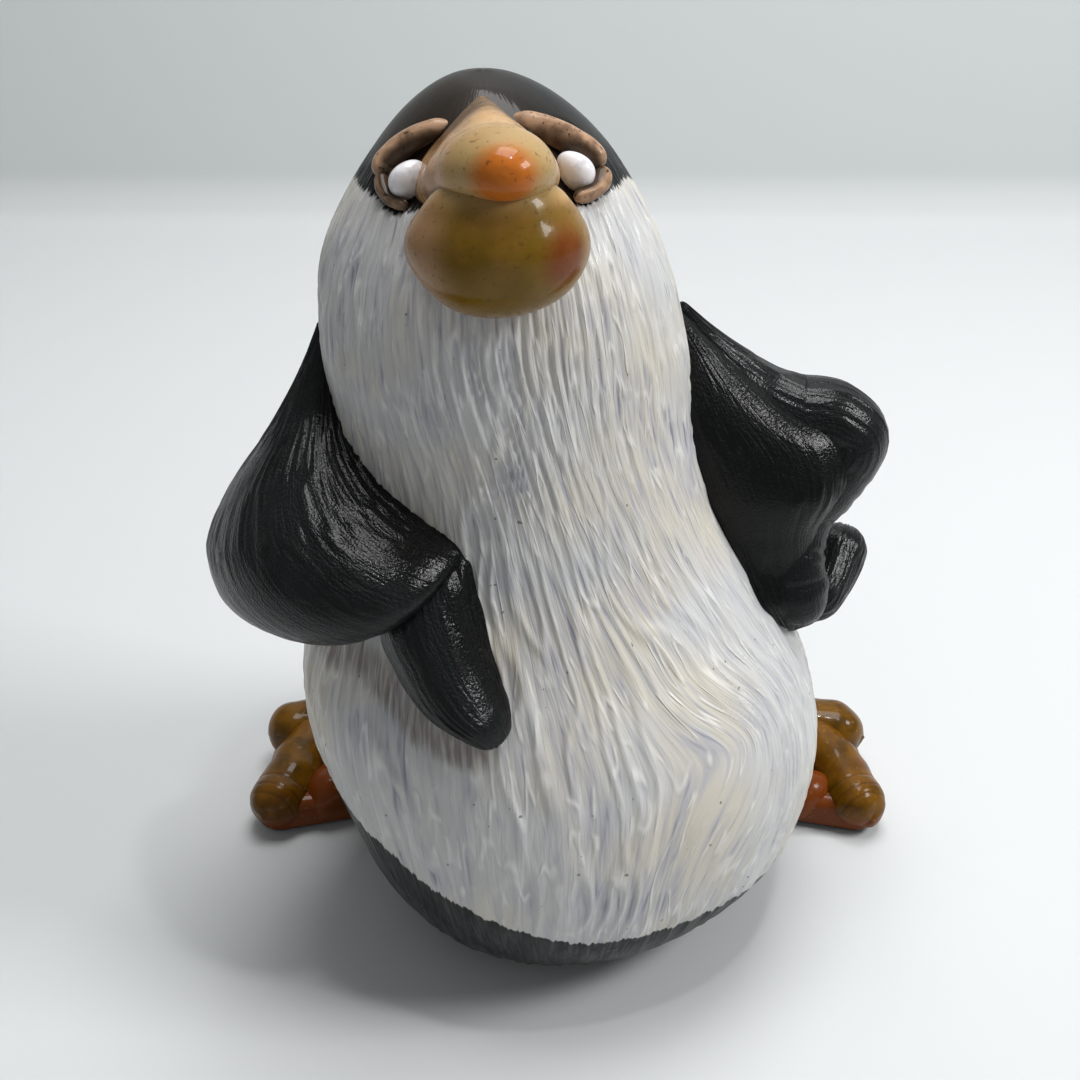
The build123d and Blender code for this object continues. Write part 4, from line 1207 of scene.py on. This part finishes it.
# Tail: a short blunt wedge low on the back, glued on a peg.
# Cast and combed like the back, with the wings' slate paint.
TAIL_HEIGHT = 13.0 * MM
TAIL_DROOP = 38.0
TAIL_RINGS_MM = (
    # distance from the back, half width, half depth
    (-5.5, 10.0, 4.5),
    (0.0, 10.0, 4.05),
    (5.0, 8.8, 3.05),
    (8.2, 6.8, 2.2),
    (10.2, 4.0, 1.3),
    (10.9, 1.6, 0.6),
    (11.0, 0.1, 0.05),
)
TAIL_STROKE_DEPTH = 0.35 * MM
TAIL_RADIUS = 7.0 * MM
TAIL_FLOW_START = 6.0 * MM
TAIL_SLIM = 4.0 * MM
TAIL_RINGS = 110
TAIL_COLUMNS = 140
TAIL_SEED = 91
tail_rows = smooth_through(np.array(TAIL_RINGS_MM) * MM, TAIL_RINGS)
distance, half_width, half_depth = tail_rows.T[:, :, None]
droop = math.radians(TAIL_DROOP)
heading = np.array((0, math.cos(droop), -math.sin(droop)))
upward = np.array((0, math.sin(droop), math.cos(droop)))
phase = np.linspace(0, math.tau, TAIL_COLUMNS + 1)[None, :]
ways = np.broadcast_arrays(half_width * np.cos(phase), distance, half_depth * np.sin(phase))
axes = np.array(((1, 0, 0), heading, upward))
grid = on_body(TAIL_HEIGHT, STRAIGHT_BACK, 0) + np.stack(ways, axis=-1) @ axes
around, along = np.broadcast_arrays(phase * TAIL_RADIUS, distance + TAIL_FLOW_START)
girth = math.tau * TAIL_RADIUS
relief = combed_round(around, along, girth, WING_STROKE_WIDTH, WING_STROKE_LENGTH, TAIL_SEED)[:, :-1]
relief_depth = TAIL_STROKE_DEPTH * np.minimum(1, half_width / TAIL_SLIM)
grid = swelled(grid[:, :-1], (relief - 0.5) * relief_depth)
tail = skin("tail_wedge", grid, np.stack((around, along), axis=-1) / MM, {"groove": 1 - relief})
fit(tail, "slate_paint", wing_paint, "tail")

# Stage: a plain pale floor that turns up into a grey wall, soft studio light, and the camera.
WALL_DISTANCE = 0.255
WALL_HEIGHT = 0.7
FLOOR_AHEAD = 0.6
SWEEP_RADIUS = 0.012
SWEEP_MIDDLE = 0.003
STAGE_REACH = 0.9
STAGE_SWEEP = (
    # back and up
    (-FLOOR_AHEAD, 0.0),
    (WALL_DISTANCE - SWEEP_RADIUS, 0.0),
    (WALL_DISTANCE - SWEEP_MIDDLE, SWEEP_MIDDLE),
    (WALL_DISTANCE, SWEEP_RADIUS),
    (WALL_DISTANCE, WALL_HEIGHT),
)
WALL_COLOUR_FROM = 0.014
CARD_ROUGHNESS = 0.55
LAMPS = (
    # name, place and target, size in metres, watts
    ("top_softbox", (0.03, 0.08, 0.50), (0, 0, 0), 0.24, 1.6),
    ("ceiling_bulb", (0.08, -0.05, 0.42), (0, 0, 0.05), 0.02, 0.16),
    ("side_softbox", (0.36, -0.08, 0.36), (0, 0, 0.05), 0.14, 1.3),
)
ROOM_LIGHT = linear("#f2f5f6")
ROOM_STRENGTH = 0.24
FLOOR_CARD = linear("#d6d8d9")
WALL_CARD = linear("#cdd1d1")
CAMERA_PLACE = (-2.0 * MM, -147.0 * MM, 136.0 * MM)
CAMERA_PITCH = 31.0
CAMERA_ANGLE = 40.0
CAMERA_NEAR = 0.005

stage_mesh = bpy.data.meshes.new("floor")
stage_points = [(x, y, z) for y, z in STAGE_SWEEP for x in (-STAGE_REACH, STAGE_REACH)]
stage_faces = [(2 * i, 2 * i + 1, 2 * i + 3, 2 * i + 2) for i in range(len(STAGE_SWEEP) - 1)]
stage_mesh.from_pydata(stage_points, [], stage_faces)
stage_mesh.polygons.foreach_set("use_smooth", np.ones(len(stage_faces), bool))
stage = placed("floor", stage_mesh)
card, shader = new_paint("pale_card", coat=0.0)
shader["Roughness"].default_value = CARD_ROUGHNESS
place = add_node(card, "ShaderNodeTexCoord", {}, {})["Object"]
rise = add_node(card, "ShaderNodeSeparateXYZ", {}, {0: place})["Z"]
colour = brushed(card, FLOOR_CARD, WALL_CARD, rise, 0.0, WALL_COLOUR_FROM, 1.0)
card.node_tree.links.new(colour, shader["Base Color"])
stage_mesh.materials.append(card)


def soft_lamp(name, place, target, size, watts):
    """A square softbox that faces a target."""
    lamp = bpy.data.lights.new(name, "AREA")
    lamp.size = size
    lamp.energy = watts
    holder = placed(name, lamp)
    holder.location = place
    facing = np.array(target) - np.array(place)
    pitch = math.atan2(facing[2], math.hypot(facing[0], facing[1]))
    holder.rotation_euler = (math.pi / 2 + pitch, 0, math.atan2(facing[1], facing[0]) - math.pi / 2)


for lamp in LAMPS:
    soft_lamp(*lamp)
world = bpy.data.worlds.new("studio")
world.use_nodes = True
world.node_tree.nodes["Background"].inputs["Color"].default_value = ROOM_LIGHT
world.node_tree.nodes["Background"].inputs["Strength"].default_value = ROOM_STRENGTH
bpy.context.scene.world = world

camera_data = bpy.data.cameras.new("camera")
camera_data.angle = math.radians(CAMERA_ANGLE)
camera_data.clip_start = CAMERA_NEAR
camera = placed("camera", camera_data)
camera.location = CAMERA_PLACE
camera.rotation_euler = (math.radians(90 - CAMERA_PITCH), 0, 0)
bpy.context.scene.camera = camera
bpy.context.scene.view_settings.view_transform = "Standard"
